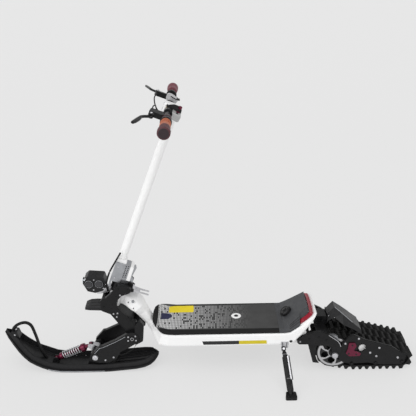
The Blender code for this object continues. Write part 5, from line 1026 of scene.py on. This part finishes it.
# Path of the steel line painted as a highlight along the swing arm's curved edge
SWING_EDGE_HIGHLIGHT = [(0.474, 0.104, 0.185), (0.494, 0.1041, 0.17), (0.511, 0.1041, 0.157),
              (0.52, 0.1041, 0.144), (0.5245, 0.104, 0.131)]
SWING_TOP = [(0.362, 0.104, 0.1745), (0.379, 0.1041, 0.185), (0.412, 0.1041, 0.1975), (0.439, 0.1041, 0.201)]
SWING_BOLTS = [(0.398, 0.17), (0.436, 0.176), (0.466, 0.162)]
HOOD_BOLT_X = 0.486
HOOD_BOLT_Y = 0.0265
HOOD_BOLT_Z = 0.226
# Path of the pale line painted as a highlight where the hood's front face meets its side
HOOD_HIGHLIGHT_LINE = [(0.5075, 0.0222, 0.263), (0.54, 0.0312, 0.2362), (0.579, 0.0402, 0.2018)]
PLATE_BOLTS = (
    (-1, (0.544, 0.138), (0.596, 0.16), (0.646, 0.093), (0.681, 0.115), (0.672, 0.076), (0.759, 0.067)),
    (1, (0.545, 0.118), (0.6, 0.11), (0.646, 0.093), (0.7, 0.085), (0.672, 0.066), (0.759, 0.062)))
BRACE_BOLTS = ((0.572, 0.13), (0.59, 0.087), (0.56, 0.091))
BRACE_FACE = 0.0972
ROLLERS = ((0.7784, 0.048), (0.575, 0.042), (0.672, 0.042))
ROLLER_RINGS = ((-0.097, 0.0042, 0.001, 18), (-0.0932, 0.0085, 0.0009, 22))
WINDOW_PLACE = (0.619, -0.079, 0.106)
WINDOW_ROLLER = [(0.0, 0.0175), (0.0016, 0.017), (0.0024, 0.012), (0.0024, 0.004)]
PLATE_EDGE = [(0.543, -0.0932, 0.149), (0.556, -0.0934, 0.166), (0.574, -0.0934, 0.1775),
              (0.624, -0.0934, 0.151), (0.668, -0.0934, 0.138), (0.73, -0.0934, 0.118),
              (0.776, -0.0932, 0.0835)]


def add_swing_trim():
    add_bolts("pivot_caps", both_sides([SWING_PIVOT], SWING_FACE, 0.008), "swing", "film")
    add_bolts("pivot_screws", both_sides([SWING_PIVOT], PIVOT_SCREW_Y, 0.003), "swing")
    shape = bmesh.new()
    for sign in SIDES:
        hub = (DRIVE_X, sign * HUB_Y, DRIVE_Z)
        add_ring(shape, hub, CROSSWISE, 0.0098, 0.0012)
        add_turned(shape, hub, (0, sign, 0), HUB_NUT)
    add_piece("hub_nuts", shape, "swing", "steel")
    # Steel line along the swing arm's curved edge: a painted highlight
    add_lines("swing_edge_highlights", "swing", "steel", [(0.0013, SWING_EDGE_HIGHLIGHT)])
    add_lines("swing_top_edges", "swing", "black", [(0.001, SWING_TOP)])
    add_bolts("swing_bolts", both_sides(SWING_BOLTS, SWING_FACE, 0.004), "swing", "black")
    add_bolts("hood_bolts", [((HOOD_BOLT_X, sign * HOOD_BOLT_Y, HOOD_BOLT_Z), (0, sign, 0.35), 0.0032)
                             for sign in SIDES], "swing")
    # Pale alloy lines on the hood's flanks: painted highlights of the fillet between front face and side
    add_lines("hood_highlight_strips", "swing", "alloy", [(0.0013, HOOD_HIGHLIGHT_LINE)])


def add_track_trim():
    add_bolts("track_bolts", [((x, sign * PLATE_FACE, z), (0, sign, 0), 0.0048)
                              for sign, *places in PLATE_BOLTS for x, z in places], "track")
    add_bolts("tensioner_bolts", [((x, -BRACE_FACE, z), (0, -1, 0), 0.0034) for x, z in BRACE_BOLTS],
              "track", "film")
    add_rings("roller_caps", "track", "black",
              [((x, y, z), CROSSWISE, *ring) for x, z in ROLLERS for y, *ring in ROLLER_RINGS])
    add_knobs("window_roller", "track", "white", [(WINDOW_PLACE, (0, -1, 0))], WINDOW_ROLLER, 28)
    add_lines("plate_edge", "track", "black", [(0.001, PLATE_EDGE)], signs=AS_GIVEN)


# Kickstand: a silver rod between a dark sleeve and a dark edge, marks on the lug and ribs on the pad

STAND_PIVOT = (0.298, -0.1075, 0.126)
STAND_AXIS = (-0.08, -0.7, 0.71)
STAND_FOOT = (0.315, -0.242, 0.0)
SCREW_OUT = 0.0138
LEG_OUT = 0.0085
ROD_SHIFT = Vector((0.0112, 0, 0))
SLEEVE_SHIFT = Vector((-0.0048, 0, 0))
END_SHIFT = Vector((0.007, 0, 0))
EDGE_SHIFT = Vector((0.0166, 0, 0))
ROD_REACH = (0.028, 0.052, 0.086, 0.1185)
ROD_RINGS = ((0.021, 0.0078, 0.0008), (0.114, 0.0084, 0.001))
SLEEVE = [(0.03, 0.005), (0.034, 0.0068), (0.12, 0.0072), (0.158, 0.007), (0.166, 0.005)]
SLEEVE_END = [(0.116, 0.005), (0.119, 0.0072), (0.158, 0.007), (0.166, 0.005)]
EDGE_REACH = (0.026, 0.06, 0.09, 0.119)
LUG = [(0.285, 0.164), (0.288, 0.1345), (0.315, 0.134), (0.317, 0.164)]
LUG_MARKS = ([(0.2905, 0.161), (0.2935, 0.1355), (0.296, 0.1355), (0.294, 0.161)],
             [(0.308, 0.161), (0.307, 0.1355), (0.3095, 0.1355), (0.311, 0.161)])
LUG_FACES = (-DECK_HALF + FILM_SINK, -DECK_HALF - PATCH_PROUD)
MARK_FACES = (-DECK_HALF - 0.0003, -DECK_HALF - 0.00045)
LUG_SCREW_PLACE = (0.3252, -DECK_HALF + FILM_SINK, 0.1645)
LUG_SCREW = [(0.0, 0.0062), (0.0004, 0.006), (0.0006, 0.004)]
PAD_RIB_X = (0.302, 0.309, 0.316, 0.323, 0.33)
PAD_RIB_LINE = ((-0.256, 0.0118), (-0.242, 0.0122), (-0.229, 0.0118))


def add_kickstand_trim():
    pivot = Vector(STAND_PIVOT)
    axis = Vector(STAND_AXIS).normalized()
    start = pivot + axis * LEG_OUT
    along = (Vector(STAND_FOOT) - start).normalized()
    shape = bmesh.new()
    add_turned(shape, pivot + axis * SCREW_OUT, axis, bolt_profile(0.0052), BOLT_COUNT)
    add_tube(shape, [start + ROD_SHIFT + along * reach for reach in ROD_REACH], 0.0046, 12)
    for reach, *ring in ROD_RINGS:
        add_ring(shape, start + along * reach, along, *ring)
    add_piece("kickstand_cap", shape, "kickstand", "steel")
    shape = bmesh.new()
    add_turned(shape, start + SLEEVE_SHIFT, along, SLEEVE, 18)
    add_turned(shape, start + END_SHIFT, along, SLEEVE_END, 18)
    add_tube(shape, [start + EDGE_SHIFT + along * reach for reach in EDGE_REACH], 0.0018, 8)
    add_piece("kickstand_sleeve", shape, "kickstand", "black")
    add_plates("kickstand_lug", "frame", "steel", [(LUG, *LUG_FACES)], edge=0.0002)
    shape = bmesh.new()
    for outline in LUG_MARKS:
        add_plate(shape, outline, *MARK_FACES, edge=0.0001)
    add_turned(shape, LUG_SCREW_PLACE, (0, -1, 0), LUG_SCREW)
    add_piece("kickstand_lug_marks", shape, "frame", "film")
    add_lines("kickstand_pad_ribs", "kickstand", "rubber",
              [(0.0009, [(x, y, z) for y, z in PAD_RIB_LINE]) for x in PAD_RIB_X], signs=AS_GIVEN)


# Spring and cable, which on the scooter bend or shorten between two bodies; here each is built once in place,
# on no body

SHOCK_TOP = (AXLE_X - 0.029, 0, AXLE_Z + 0.016)
SHOCK_FOOT = (AXLE_X - 0.176, 0, AXLE_Z - 0.0465)
SPRING_GAP = 0.0006
SPRING_STEPS = 24
CABLE_ROUTE = ((-0.0394, 0.1405, -0.025), (-0.049, 0.0872, -0.029), (-0.055, 0.0468, -0.0305),
               (-0.0535, 0.0052, -0.031), (-0.0465, -0.021, -0.025), (-0.037, -0.039, -0.0193))
CABLE_STEPS = 8


def add_spring():
    """The wound spring again, with rounder turns."""
    start = Vector(SHOCK_TOP)
    along, side, up = side_frame(Vector(SHOCK_FOOT) - start)
    first = UPPER_SEAT + SPRING_WIRE + SPRING_GAP
    last = LOWER_SEAT - SPRING_WIRE - SPRING_GAP
    count = SPRING_TURNS * SPRING_STEPS
    points = []
    for step in range(count + 1):
        angle = 2 * math.pi * step / SPRING_STEPS
        reach = first + (last - first) * step / count
        points.append(start + along * reach + (side * math.cos(angle) + up * math.sin(angle)) * SPRING_RADIUS)
    shape = bmesh.new()
    add_tube(shape, points, SPRING_WIRE, 10)
    piece = add_piece("spring_coil", shape, None, "steel")
    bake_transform(piece)
    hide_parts("shock_spring")


def smooth_run(points, steps):
    """Points along a smooth curve through the given ones."""
    ends = [points[0] * 2 - points[1]] + list(points) + [points[-1] * 2 - points[-2]]
    run = []
    for before, here, beyond, after in zip(ends, ends[1:], ends[2:], ends[3:]):
        for step in range(steps):
            share = step / steps
            run.append(0.5 * (2 * here + (beyond - before) * share
                              + (2 * before - 5 * here + 4 * beyond - after) * share ** 2
                              + (3 * here - before - 3 * beyond + after) * share ** 3))
    return run + [points[-1]]


def add_cable():
    """The cable over the fold again, bending between the stem and the fork."""
    route = [across(*place) for place in CABLE_ROUTE]
    shape = bmesh.new()
    add_tube(shape, smooth_run(route, CABLE_STEPS), CABLE_RADIUS, 12)
    piece = add_piece("fork_cable_bent", shape, None, "rubber")
    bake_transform(piece)
    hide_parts("fork_cable")


def add_details():
    add_deck_trim()
    add_neck_trim()
    add_block_trim()
    add_headlight_trim()
    add_bar_trim()
    add_ski_trim()
    add_swing_trim()
    add_track_trim()
    add_kickstand_trim()
    add_spring()
    add_cable()


add_camera()
PAINTS = make_materials()
add_studio()
dress_nodes(PAINTS)
add_details()
